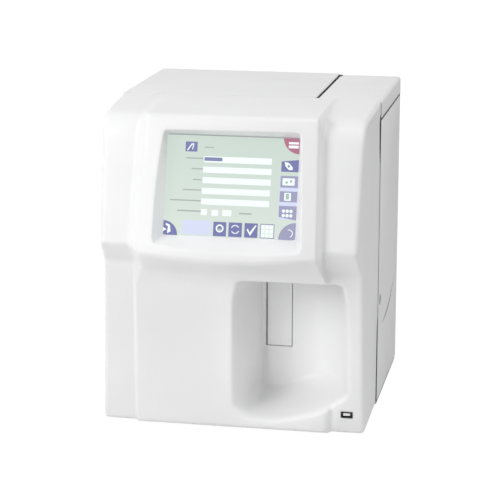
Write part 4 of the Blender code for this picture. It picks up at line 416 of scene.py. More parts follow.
# front cover: pillar and hood profiles as (distance ahead of the seam, height, corner radius)
frontCover = {
    "pillar": [(0, 0.4314, 0), (0.1225, 0.4215, 0.038), (0.1620, 0.2556, 0.007), (0.1310, 0.2240, 0.018),
               (0.1280, 0, 0.0065), (0, 0, 0)],
    "hood": [(0, 0.4320, 0), (0.1370, 0.4275, 0.008), (0.1800, 0.2490, 0.008), (0.1335, 0.2125, 0.035),
             (0.1355, 0, 0.0065), (0, 0, 0)],
    "edgeRound": 0.0055,
    "skin": 0.0030,
    # tables over the profile's steps: 2 to 3 is the screen face, 4 to 5 the underside, 6 to 7 the lower panel
    "halfWidths": [(0, 0.1800), (1, 0.1773), (1.5, 0.1753), (2, 0.1746), (3, 0.1720), (4, 0.1724),
                   (5, 0.1748), (6, 0.1757), (7, 0.1795), (8, 0.1797), (9, 0.1800)],
    "hoodInner": [(0, 0.1150), (2, 0.1160), (3, 0.1195), (5, 0.1215), (6, 0.1300), (9, 0.1305)],
    "hoodOuter": [(0, 0.1210), (2, 0.1217), (3, 0.1260), (5, 0.1290), (6, 0.1345), (9, 0.1360)],
    "leftSoft": [(0, 0.012), (2, 0.012), (4, 0.013), (5, 0.009), (6, 0.003), (9, 0.002)],
    "rightSoft": [(0, 0.003), (2, 0.0025), (4, 0.0025), (5, 0.0012), (6, 0.0015), (9, 0.0010)],
    "bow": [(0, 0), (1, 0.0020), (2, 0.0022), (3, 0.0105), (4, 0.0108), (5, 0.0010), (6, 0), (9, 0)],
    "sag": [(0, 0), (2.4, 0), (3, 0.0050), (4, 0.0055), (5, 0.0010), (6, 0), (9, 0)],
    "bowHalfWidth": 0.118,
    "blendMargin": 0.10,
    # where columns of the grid run: beside the window, and right of the recess
    "windowLeft": [(0, -0.0890), (4, -0.0960), (6, -0.0850), (9, -0.0850)],
    "windowRight": [(0, 0.0940), (4, 0.1000), (6, 0.0850), (9, 0.0850)],
    "recessRight": 0.1540,
    # heights on the face at which rows run: above and below the window and the recess
    "rowHeights": [(0.0, 0.4065), (0.0, 0.2585), (0.05, 0.2050), (0.05, 0.0240)],
    # about how long a profile step is, and how far to both sides the profile's direction is read
    "stepLength": 0.04,
    "slopeReach": 0.02,
    "sideSteps": 10,
    "columnSteps": [4, 6, 14, 6, 24, 24, 5, 14, 5, 5, 4],
    "rowSteps": [6, 4, 28, 4, 9, 7, 4, 2, 36, 3, 4],
    "weld": 0.00002,
    # the rim's turn at the seam
    "seamTuck": 0.0011,
    "seamTuckIn": 0.0003,
    "rimShares": [(0, 0.45), (0.45, 1)],
    "rimMargin": 0.004,
    "rimNear": 0.0001,
    "rimTop": 0.4,
    # how much narrower than the door the cover is at the seam, by height, and how far that reaches
    "seamStep": [(0, 0.0012), (0.110, 0.0010), (0.130, 0.0003), (0.340, 0.0004), (0.365, 0.0014),
                 (0.404, 0.0018), (0.412, 0.0005), (0.440, 0.0002)],
    "seamStepWidth": 0.020,
    "seamStepReach": 0.100,
}

# screen window's outline on the hood, and where it narrows to behind it
window = {
    "corners": [(-0.0870, 0.4075, 0.005), (0.0937, 0.4090, 0.005), (0.1002, 0.2570, 0.007),
                (-0.0966, 0.2625, 0.005)],
    "bows": [0.0005, 0.0010, 0.0045, 0.0022],
    "round": 0.0022,
    "glassAhead": 0.132,
    "glassHeight": 0.333,
    "tilt": math.radians(15),
    "width": 0.177,
    "height": 0.134,
    "innerRound": 0.002,
    "stop": 0.0012,
    "roundSteps": 4,
    "wallSteps": 5,
}

# sampling recess: outline through these places at the front, and where it goes behind
recess = {
    "outline": [(0.0043, 0.1960), (0.0084, 0.2026), (0.0158, 0.2047), (0.0461, 0.2050), (0.0960, 0.2052),
                (0.1368, 0.2049), (0.1478, 0.2022), (0.1517, 0.1916), (0.1531, 0.1526), (0.1539, 0.1039),
                (0.1550, 0.0671), (0.1533, 0.0536), (0.1415, 0.0444), (0.1244, 0.0329), (0.0907, 0.0227),
                (0.0630, 0.0167), (0.0362, 0.0159), (0.0163, 0.0200), (0.0068, 0.0281), (0.0042, 0.0393),
                (0.0030, 0.0793), (0.0032, 0.1233), (0.0035, 0.1672)],
    "corners": [1, 6, 11, 18],
    "round": [0.0045, 0.0080, 0.0075, 0.0050],
    "backAhead": 0.045,
    "backLeft": 0.0262,
    "backRight": 0.0960,
    "backLow": 0.0370,
    "backSlope": 0.003,
    "backHigh": 0.2050,
    # how straight the walls run in: 1 is a plane that meets the back in a corner, 0 a quarter round
    "leanLeft": 0.90,
    "leanRight": 0.10,
    "leanFloor": 0.30,
    "roundSteps": 6,
    "wallSteps": 14,
    # where the wall starts behind the soft edge, in wall steps, and a narrow frame on the back
    "wallStart": 1.2,
    "backFrame": 0.0015,
}


# a closed outline as a dense line, cut into four sides at its corners
def smoothOutline(points, cornerIndexes):
    count = len(points)
    sides = []
    for number, first in enumerate(cornerIndexes):
        last = cornerIndexes[(number + 1) % len(cornerIndexes)]
        if last <= first:
            last += count
        side = []
        for index in range(first, last):
            p = [Vector(points[(index + offset) % count]) for offset in (-1, 0, 1, 2)]
            for t in (step / 8 for step in range(8)):
                straight = 2 * p[1] + (p[2] - p[0]) * t
                curved = (2 * p[0] - 5 * p[1] + 4 * p[2] - p[3]) * t ** 2
                twisted = (3 * p[1] - 3 * p[2] + p[3] - p[0]) * t ** 3
                side.append((straight + curved + twisted) / 2)
        side.append(Vector(points[last % count]))
        sides.append(side)
    return sides


# four rounded corners with bowed sides between them, cut at the middle of each corner
def roundedOutline(corners, bows):
    arcs = []
    for before, corner, after in zip(corners[-1:] + corners, corners, corners[1:] + corners[:1]):
        middle, first, _, sweep = cornerArc(before, corner, after)
        arcs.append([middle + Matrix.Rotation(-sweep * step / 8, 2) @ first for step in range(9)])
    sides = []
    for start, end, bow in zip(arcs, arcs[1:] + arcs[:1], bows):
        run = end[0] - start[-1]
        outward = Vector((-run.y, run.x)).normalized()
        between = []
        for share in (step / 16 for step in range(1, 16)):
            between.append(start[-1].lerp(end[0], share) + outward * bow * (1 - (2 * share - 1) ** 2))
        sides.append(start[4:] + between + end[:5])
    return sides


# places along a side at the given shares of its run, measured along one axis
def sampleSide(side, shares, axis):
    lengths = [0.0]
    for a, b in zip(side, side[1:]):
        lengths.append(lengths[-1] + abs((b - a)[axis]))
    found = []
    index = 0
    for share in shares:
        target = share * lengths[-1]
        while index < len(side) - 2 and lengths[index + 1] < target:
            index += 1
        run = lengths[index + 1] - lengths[index]
        found.append(side[index].lerp(side[index + 1], (target - lengths[index]) / run if run > 0 else 0))
    return found


# the same closed line moved outwards by an amount
def grown(line, amounts):
    count = len(line)
    result = []
    for index in range(count):
        along = (line[(index + 1) % count] - line[index - 1]).normalized()
        result.append(line[index] + Vector((-along.y, along.x)) * amounts[index])
    return result


class CoverSheet:
    # the cover's outer skin over a grid: columns run across, rows run down the side profile
    def __init__(self, sizes):
        self.sizes = sizes
        self.pillar = makeProfile(sizes["pillar"])
        self.hood = makeProfile(sizes["hood"])
        self.edge = sizes["edgeRound"]

    def blendAt(self, step, weight, x):
        pillarSpot = onProfile(self.pillar, step)
        hoodSpot = onProfile(self.hood, step).copy()
        swell = max(1 - (x / self.sizes["bowHalfWidth"]) ** 2, 0)
        hoodSpot.x += swell * readTable(self.sizes["bow"], step)
        hoodSpot.y -= swell * readTable(self.sizes["sag"], step)
        return pillarSpot.lerp(hoodSpot, weight)

    def anchors(self, step):
        names = ("halfWidths", "hoodInner", "hoodOuter", "leftSoft", "rightSoft", "windowLeft", "windowRight")
        side, inner, outer, left, right, windowLeft, windowRight = (
            readTable(self.sizes[name], step) for name in names)
        return [-side, -side + self.edge, -outer - left, -inner + left, windowLeft, 0.0, windowRight,
                inner - right, outer + right, self.sizes["recessRight"], side - self.edge, side]

    # how much of the hood there is at an across place: none on the pillars, all inside
    def weightAt(self, step, x):
        spots = self.anchors(step)
        if x < 0:
            share = (x - spots[2]) / (spots[3] - spots[2])
        else:
            share = (spots[8] - x) / (spots[8] - spots[7])
        margin = self.sizes["blendMargin"]
        share = clamp((share - margin) / (1 - 2 * margin))
        return share ** 3 * (share * (share * 6 - 15) + 10)

    # profile step at which this across place has the wanted height
    def stepFor(self, x, height, low=2.0, high=7.0):
        for _ in range(26):
            middle = (low + high) / 2
            if self.blendAt(middle, self.weightAt(middle, x), x).y > height:
                low = middle
            else:
                high = middle
        return (low + high) / 2

    def surface(self, x, step):
        spot = self.blendAt(step, self.weightAt(step, x), x)
        return Vector((x, spot.x, spot.y))

    def onFace(self, x, height):
        return self.surface(x, self.stepFor(x, height))


def shapeSeam(bm, sizes):
    # towards the seam the right side draws in a little, so that the door's front edge, painted with shade,
    # shows as a dark line
    for vert in bm.verts:
        outer = clamp(1 - (halfWidth - vert.co.x) / sizes["seamStepWidth"])
        back = clamp(1 - (seamY - vert.co.y) / sizes["seamStepReach"])
        vert.co.x -= readTable(sizes["seamStep"], vert.co.z - baseZ) * outer * back

    # the rim at the seam turns in
    rim = [edge for edge in bm.edges
           if edge.is_boundary and min(vert.co.y for vert in edge.verts) > seamY - sizes["rimNear"]]
    for vert in {vert for edge in rim for vert in edge.verts}:
        vert.co.y = seamY - sizes["seamTuck"]
    for before, share in sizes["rimShares"]:
        grownRim = bmesh.ops.extrude_edge_only(bm, edges=rim)
        rim = picked(grownRim, bmesh.types.BMEdge)
        inward = sizes["seamTuckIn"] * (share ** 2 - before ** 2)
        for vert in picked(grownRim, bmesh.types.BMVert):
            vert.co.y = seamY - sizes["seamTuck"] * (1 - share)
            if abs(vert.co.x) > halfWidth - sizes["rimMargin"]:
                vert.co.x -= math.copysign(inward, vert.co.x)
            if vert.co.z > baseZ + sizes["rimTop"]:
                vert.co.z -= inward
            if vert.co.z < baseZ + sizes["rimMargin"]:
                vert.co.z += inward


def buildFrontCover():
    sizes = frontCover
    sheet = CoverSheet(sizes)
    deep = sizes["sideSteps"]
    columnSteps = sizes["columnSteps"]
    faceTop, faceLow, recessTop, recessLow = (sheet.stepFor(x, height) for x, height in sizes["rowHeights"])
    rowMarks = sorted([1, 2, faceTop, faceLow, 3, 4, 5, 6, recessTop, recessLow, 7, 8])
    columns = [(mark, step / count) for mark, count in enumerate(columnSteps) for step in range(count)]
    columns.append((len(columnSteps) - 1, 1.0))
    rows = [lerp(rowMarks[mark], rowMarks[mark + 1], step / count)
            for mark, count in enumerate(sizes["rowSteps"]) for step in range(count)]
    rows.append(rowMarks[-1])
    across, down = len(columns) - 1, len(rows) - 1

    def columnIndex(mark):
        return sum(columnSteps[:mark])

    # the columns of the hood's two side walls are closest where the wall bends
    def acrossPlace(spots, mark, share):
        return lerp(spots[mark], spots[mark + 1], ease(share) if mark in (2, 7) else share)

    # nominal across place and profile step of each grid point
    xs = [[acrossPlace(spots, *column) for column in columns] for spots in map(sheet.anchors, rows)]
    steps = [[row] * (across + 1) for row in rows]

    # both holes: their place in the grid, their sides, and how far round their edge is at each corner
    holes = {
        "window": (columnIndex(4), columnIndex(6), rows.index(faceTop), rows.index(faceLow),
                   roundedOutline(window["corners"], window["bows"]), [window["round"]] * 4),
        "recess": (columnIndex(5), columnIndex(9), rows.index(recessTop), rows.index(recessLow),
                   smoothOutline(recess["outline"], recess["corners"]), recess["round"]),
    }
    rings = {}
    for name, (c0, c1, r0, r1, sides, rounds) in holes.items():
        loops = [
            [(r0, c) for c in range(c0, c1)], [(r, c1) for r in range(r0, r1)],
            [(r1, c) for c in range(c1, c0, -1)], [(r, c0) for r in range(r1, r0, -1)],
        ]
        outline, amounts = [], []
        for number, (side, loop, following) in enumerate(zip(sides, loops, loops[1:] + loops[:1])):
            spots = [Vector((xs[r][c], steps[r][c] * sizes["stepLength"])) for r, c in loop + following[:1]]
            lengths = [0.0]
            for a, b in zip(spots, spots[1:]):
                lengths.append(lengths[-1] + (b - a).length)
            outline += sampleSide(side, [length / lengths[-1] for length in lengths[:-1]], number % 2)
            here, before, after = (rounds[index % 4] for index in (number, number - 1, number + 1))
            for share in (index / len(loop) for index in range(len(loop))):
                beside = before if share < 0.5 else after
                amounts.append(lerp((here + beside) / 2, here, ease(4 * min(share, 1 - share))))
        order = [spot for loop in loops for spot in loop]
        rings[name] = (order, outline, grown(outline, amounts), (c0, c1, r0, r1))

    # grid points near a hole move with its edge, and those on the nearest fixed lines stay
    reach = {
        "window": (columnIndex(3), columnIndex(7), rows.index(2), rows.index(3)),
        "recess": (columnIndex(4), columnIndex(10), rows.index(4), down),
    }
    for name, (order, _, edge, (c0, c1, r0, r1)) in rings.items():
        shifts = {(r, c): (spot.x - xs[r][c], sheet.stepFor(*spot) - steps[r][c])
                  for (r, c), spot in zip(order, edge)}
        ca, cb, ra, rb = reach[name]
        moves = []
        for r, c in ((r, c) for r in range(ra, rb + 1) for c in range(ca, cb + 1)):
            near = (clamp(r, r0, r1), clamp(c, c0, c1))
            if near not in shifts:
                continue
            weight = 1.0
            for outside, moved, fixed in ((c < c0, c0, ca), (c > c1, c1, cb)):
                if outside:
                    weight *= (xs[r][c] - xs[r][fixed]) / (xs[r][moved] - xs[r][fixed])
            for outside, moved, fixed in ((r < r0, r0, ra), (r > r1, r1, rb)):
                if outside:
                    weight *= (steps[r][c] - steps[fixed][c]) / (steps[moved][c] - steps[fixed][c])
            moves.append((r, c, shifts[near][0] * weight, shifts[near][1] * weight))
        for r, c, dx, ds in moves:
            xs[r][c] += dx
            steps[r][c] += ds

    bm = bmesh.new()
    nx, ny = across + 2 * deep, down + 2 * deep
    bmesh.ops.create_grid(bm, x_segments=nx, y_segments=ny, size=1.0)
    grid = {}
    for vert in bm.verts:
        grid[(round((1 - vert.co.y) / 2 * ny) - deep, round((vert.co.x + 1) / 2 * nx) - deep)] = vert

    # the two outer strips of columns turn the edge: from the face's direction to the side's
    def framePoint(r, c):
        row, column = clamp(r, 0, down), clamp(c, 0, across)
        mark, share = columns[column]
        step = steps[row][column]
        if r < 0:
            step = 1 + r / deep
        if r > down:
            step = 8 + (r - down) / deep
        if mark in (0, 10):
            turn = (1 - share if mark == 0 else share) * math.pi / 2
            near = sizes["slopeReach"]
            before, after = (onProfile(sheet.pillar, clamp(step + side, 0, 9)) for side in (-near, near))
            inward = Vector((after.y - before.y, before.x - after.x)).normalized()
            here = onProfile(sheet.pillar, step) + inward * sheet.edge * (1 - math.cos(turn))
            x = readTable(sizes["halfWidths"], step) - sheet.edge * (1 - math.sin(turn))
            return Vector((-x if mark == 0 else x, here.x, here.y))
        x = xs[row][column] if r == row else acrossPlace(sheet.anchors(step), mark, share)
        return sheet.surface(x, step)

    for (r, c), vert in grid.items():
        column = clamp(c, 0, across)
        if c != column and not 0 <= r <= down:
            continue
        spot = framePoint(r, c)
        if c != column:
            back = abs(c - column) / deep
            top, low, first, last = (framePoint(row, column).z for row in (-deep, down + deep, 0, down))
            height = lerp(spot.z, lerp(low, top, (spot.z - last) / (first - last)), back)
            x = lerp(abs(spot.x), halfWidth, back)
            spot = Vector((-x if c < 0 else x, lerp(spot.y, 0, back), height))
        vert.co = place(*spot)

    # faces in the holes and in the grid's four corners go
    def isSpare(r, c):
        corner = not 0 <= r < down and not 0 <= c < across
        return corner or any(r0 <= r < r1 and c0 <= c < c1 for _, _, _, (c0, c1, r0, r1) in rings.values())

    indexOf = {vert: key for key, vert in grid.items()}
    spare = []
    for face in bm.faces:
        keys = [indexOf[vert] for vert in face.verts]
        if isSpare(min(r for r, _ in keys), min(c for _, c in keys)):
            spare.append(face)
    bmesh.ops.delete(bm, geom=spare, context="FACES")

    # pulls a closed row of points inwards, one new row for each list of places
    def drawIn(order, layers):
        ring = [grid[key] for key in order]
        for layer in layers:
            edges = [bm.edges.get(pair) for pair in zip(ring, ring[1:] + ring[:1])]
            fresh = set(picked(bmesh.ops.extrude_edge_only(bm, edges=edges), bmesh.types.BMVert))
            # each new point is the one joined to the point it was pulled from
            ring = [next(edge.other_vert(vert) for edge in vert.link_edges if edge.other_vert(vert) in fresh)
                    for vert in ring]
            for vert, spot in zip(ring, layer):
                vert.co = spot
        return ring

    # the rows of a hole's soft edge, from the face round to where the wall starts
    def edgeLayers(order, outerSpots, wallStarts, count):
        bends = list(zip([grid[key].co.copy() for key in order], outerSpots, wallStarts))
        return [[a.lerp(b, share).lerp(b.lerp(c, share), share) for a, b, c in bends]
                for share in (step / count for step in range(1, count + 1))]

    # window: a rounded edge, then straight walls down to just before the glass
    order, outline, _, (c0, c1, r0, r1) = rings["window"]
    inner = roundedOutline(
        [(x * window["width"] / 2, z * window["height"] / 2, window["innerRound"])
         for x, z in ((-1, 1), (1, 1), (1, -1), (-1, -1))], [0, 0, 0, 0])
    innerLine = []
    for number, (side, count) in enumerate(zip(inner, [c1 - c0, r1 - r0] * 2)):
        innerLine += sampleSide(side, [step / count for step in range(count)], number % 2)
    screenFrame = screenPlace()
    innerSpots = [screenFrame @ Vector((spot.x, -window["stop"], spot.y)) for spot in innerLine]
    outerSpots = [place(*sheet.onFace(*spot)) for spot in outline]
    wallStarts = [a.lerp(b, window["round"] / (b - a).length) for a, b in zip(outerSpots, innerSpots)]
    count = window["wallSteps"]
    walls = [[a.lerp(b, step / count) for a, b in zip(wallStarts, innerSpots)]
             for step in range(1, count + 1)]
    drawIn(order, edgeLayers(order, outerSpots, wallStarts, window["roundSteps"]) + walls)

    # recess: a soft edge, then walls that sweep in to the flat back
    order, outline, _, _ = rings["recess"]
    lowX, highX = min(s.x for s in outline), max(s.x for s in outline)
    lowZ, highZ = min(s.y for s in outline), max(s.y for s in outline)

    def wallSpot(spot, share):
        front = sheet.onFace(*spot)
        partX, partZ = (spot.x - lowX) / (highX - lowX), (spot.y - lowZ) / (highZ - lowZ)
        backX = lerp(recess["backLeft"], recess["backRight"], ease(partX))
        backZ = lerp(recess["backLow"] + recess["backSlope"] * partX, recess["backHigh"], partZ)
        lean = lerp(recess["leanLeft"], recess["leanRight"], ease(partX * 4))
        lean = lerp(lean, recess["leanFloor"], ease(1 - partZ * 5) * ease(partX * 4))
        along = math.sin(math.pi / 2 * share)
        inward = lean * along + (1 - lean) * (1 - math.sqrt(max(1 - along * along, 0)))
        ahead = lerp(front.y, recess["backAhead"], along)
        return place(lerp(spot.x, backX, inward), ahead, lerp(spot.y, backZ, inward))

    outerSpots = [place(*sheet.onFace(*spot)) for spot in outline]
    count = recess["wallSteps"]
    wallStarts = [wallSpot(spot, recess["wallStart"] / count) for spot in outline]
    walls = [[wallSpot(spot, step / count) for spot in outline] for step in range(2, count + 1)]
    back = drawIn(order, edgeLayers(order, outerSpots, wallStarts, recess["roundSteps"]) + walls)
    bmesh.ops.inset_region(bm, faces=[bm.faces.new(back)], thickness=recess["backFrame"], depth=0)
    bmesh.ops.remove_doubles(bm, verts=bm.verts, dist=sizes["weld"])
    shapeSeam(bm, sizes)
    bmesh.ops.recalc_face_normals(bm, faces=bm.faces)
    front = [face for face in bm.faces if abs(face.normal.y) > 0.9]
    if sum(face.normal.y * face.calc_area() for face in front) > 0:
        bmesh.ops.reverse_faces(bm, faces=bm.faces)
    cover = meshObject("coverShell", bm, whiteFinish("coverPlastic"))
    addModifier(cover, "SOLIDIFY", thickness=sizes["skin"], offset=-1.0)
    usb = usbPlace
    cutAway(cover, [
        boxMesh(place(barSlot["left"], barSlot["front"], barSlot["low"]),
                place(barSlot["right"], barSlot["back"], barSlot["high"])),
        roundCutter(place(needleHole["x"], needleHole["ahead"], needleHole["height"]), needleHole["radius"]),
        boxMesh(*usbCorners(usb["width"], usb["rise"], usb["holeFront"], usb["holeBack"])),
    ])
    return cover


def boxMesh(low, high):
    bm = bmesh.new()
    bmesh.ops.create_cube(bm, size=1.0)
    bmesh.ops.scale(bm, vec=[abs(size) for size in high - low], verts=bm.verts)
    bmesh.ops.translate(bm, vec=(low + high) / 2, verts=bm.verts)
    bmesh.ops.recalc_face_normals(bm, faces=bm.faces)
    return bm


def softBox(low, high, radius=0.0003):
    bm = boxMesh(low, high)
    bmesh.ops.bevel(bm, geom=bm.edges[:], offset=radius, segments=2, profile=0.5, affect="EDGES", material=-1)
    bmesh.ops.recalc_face_normals(bm, faces=bm.faces)
    return bm


def roundCutter(middle, radius, depth=0.03):
    bm = bmesh.new()
    bmesh.ops.create_cone(bm, cap_ends=True, segments=48, radius1=radius, radius2=radius, depth=depth)
    bmesh.ops.translate(bm, vec=middle, verts=bm.verts)
    return bm


# takes the cutters out of a piece and keeps the result as its mesh, with a sharp edge round each cut
def cutAway(obj, cutters, sharpAngle=math.radians(50)):
    tools = []
    for bm in cutters:
        mesh = bpy.data.meshes.new("cutter")
        bm.to_mesh(mesh)
        bm.free()
        tool = bpy.data.objects.new("cutter", mesh)
        bpy.context.scene.collection.objects.link(tool)
        tools.append(tool)
        addModifier(obj, "BOOLEAN", operation="DIFFERENCE", object=tool)
    bpy.context.view_layer.update()
    solid = bpy.data.meshes.new_from_object(obj.evaluated_get(bpy.context.evaluated_depsgraph_get()))
    obj.modifiers.clear()
    obj.data = solid
    solid.set_sharp_from_angle(angle=sharpAngle)
    for tool in tools:
        bpy.data.objects.remove(tool, do_unlink=True)


# openings in the cover, and the socket in one of them
barSlot = {"left": 0.0311, "right": 0.0680, "low": 0.0918, "high": 0.2105, "front": 0.049, "back": 0.037}
needleHole = {"x": 0.050, "ahead": 0.074, "height": 0.2034, "radius": 0.006}
usbPlace = {
    "x": 0.1561, "height": 0.0266, "width": 0.0160, "rise": 0.0088,
    "holeFront": 0.142, "holeBack": 0.113, "front": 0.1294, "back": 0.1145, "gap": 0.0001, "frame": 0.0017,
    "tongueWidth": 0.0094, "tongueRise": 0.0034, "tongueDepth": 0.011, "tongueBehind": 0.0005,
    "tongueLift": 0.0006,
}


# two opposite corners of a box about the socket's middle
def usbCorners(width, rise, front, back, lift=0.0):
    x, height = usbPlace["x"], usbPlace["height"] + lift
    return place(x - width / 2, front, height - rise / 2), place(x + width / 2, back, height + rise / 2)


def screenPlace():
    glass = place(0, window["glassAhead"], window["glassHeight"])
    return Matrix.Translation(glass) @ Matrix.Rotation(-window["tilt"], 4, "X")


cover = buildFrontCover()
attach(cover, "housing")
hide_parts("front_cover")
print("front cover made")


# the screen's picture, with a painted shadow strip along its top edge: plain shapes laid out as (left, top,
# right, bottom) shares of the window
screenPicture = {
    "white": (0.86, 0.93, 0.93), "violet": (0.150, 0.160, 0.38), "paleViolet": (0.31, 0.31, 0.48),
    "deepViolet": (0.17, 0.20, 0.38), "lavender": (0.63, 0.68, 0.87), "rose": (0.40, 0.125, 0.21),
    "grey": (0.36, 0.41, 0.38), "pale": (0.72, 0.80, 0.75), "shade": (0.30, 0.33, 0.33),
    "green": (0.34, 0.50, 0.40),
    "lift": 0.00012,
    "thickness": 0.00008,
    "bars": [(0.283, 0.213, 0.797, 0.273), (0.281, 0.315, 0.798, 0.374), (0.282, 0.419, 0.796, 0.478),
             (0.281, 0.524, 0.793, 0.583), (0.279, 0.628, 0.792, 0.687)],
    "boxes": [(0.280, 0.732, 0.326, 0.791), (0.361, 0.736, 0.411, 0.794), (0.443, 0.733, 0.512, 0.791)],
    "dashes": [(0.285, 0.119, 0.355, 0.130), (0.149, 0.229, 0.279, 0.242), (0.194, 0.333, 0.282, 0.345),
               (0.208, 0.439, 0.272, 0.451), (0.134, 0.542, 0.272, 0.554), (0.041, 0.646, 0.274, 0.659),
               (0.101, 0.748, 0.280, 0.762), (0.568, 0.754, 0.664, 0.768)],
    "lowButtons": [(0.380, 0.851, 0.478, 0.992), (0.496, 0.851, 0.597, 0.992), (0.616, 0.851, 0.715, 0.992)],
    "gridButton": (0.734, 0.852, 0.840, 0.992),
    # nine cells and six dots: the first one's left and top, the steps across and down, and their size
    "cells": (0.741, 0.866, 0.032, 0.043, 0.026, 0.032),
    "dots": (0.902, 0.718, 0.028, 0.044, 0.0125),
    "sideButtons": [(0.870, 0.216, 1.0, 0.336), (0.869, 0.376, 1.0, 0.490), (0.868, 0.526, 1.0, 0.630),
                    (0.867, 0.668, 1.0, 0.806)],
}


class ScreenLayer:
    # one colour of the picture, built flat in the screen's own plane
    def __init__(self, colorName, level=1):
        self.colorName = colorName
        self.level = level
        self.bm = bmesh.new()

    def spot(self, across, down):
        return Vector(((across - 0.5) * window["width"], 0, (0.5 - down) * window["height"]))

    def polygon(self, points):
        verts = [self.bm.verts.new(self.spot(*point)) for point in points]
        self.bm.faces.new(verts)

    def box(self, left, top, right, bottom, corner=0.0):
        if corner <= 0:
            self.polygon([(left, top), (right, top), (right, bottom), (left, bottom)])
            return
        tall = corner * window["width"] / window["height"]
        points = []
        for cx, cy, start in ((right - corner, top + tall, 0), (right - corner, bottom - tall, 1),
                              (left + corner, bottom - tall, 2), (left + corner, top + tall, 3)):
            for step in range(5):
                angle = math.radians(90 * start + 22.5 * step - 90)
                points.append((cx + corner * math.cos(angle), cy + tall * math.sin(angle)))
        self.polygon(points)

    # a pie slice, or a ring's part where an inner share is given; radii are shares of the width
    def slice(self, cx, cy, radius, start, end, inner=0.0, steps=16):
        tall = window["width"] / window["height"]
        angles = [math.radians(lerp(start, end, step / steps)) for step in range(steps + 1)]
        rim = [(cx + radius * math.cos(angle), cy + radius * tall * math.sin(angle)) for angle in angles]
        if inner > 0:
            back = [(lerp(cx, x, inner), lerp(cy, y, inner)) for x, y in rim]
            for index in range(steps):
                self.polygon([rim[index], rim[index + 1], back[index + 1], back[index]])
        else:
            for index in range(steps):
                self.polygon([(cx, cy), rim[index], rim[index + 1]])

    def finish(self):
        bm = self.bm
        bmesh.ops.remove_doubles(bm, verts=bm.verts, dist=0.000002)
        lifted = bmesh.ops.extrude_face_region(bm, geom=bm.faces[:], use_keep_orig=True)
        moved = picked(lifted, bmesh.types.BMVert)
        bmesh.ops.translate(bm, vec=(0, -screenPicture["thickness"], 0), verts=moved)
        bmesh.ops.recalc_face_normals(bm, faces=bm.faces)
        shift = Matrix.Translation((0, -screenPicture["lift"] * self.level, 0))
        bmesh.ops.transform(bm, matrix=screenPlace() @ shift, verts=bm.verts)
        name = self.colorName[0].upper() + self.colorName[1:] + str(self.level)
        piece = meshObject("screen" + name, bm, litColor("lit" + name, screenPicture[self.colorName]), False)
        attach(piece, "housing")


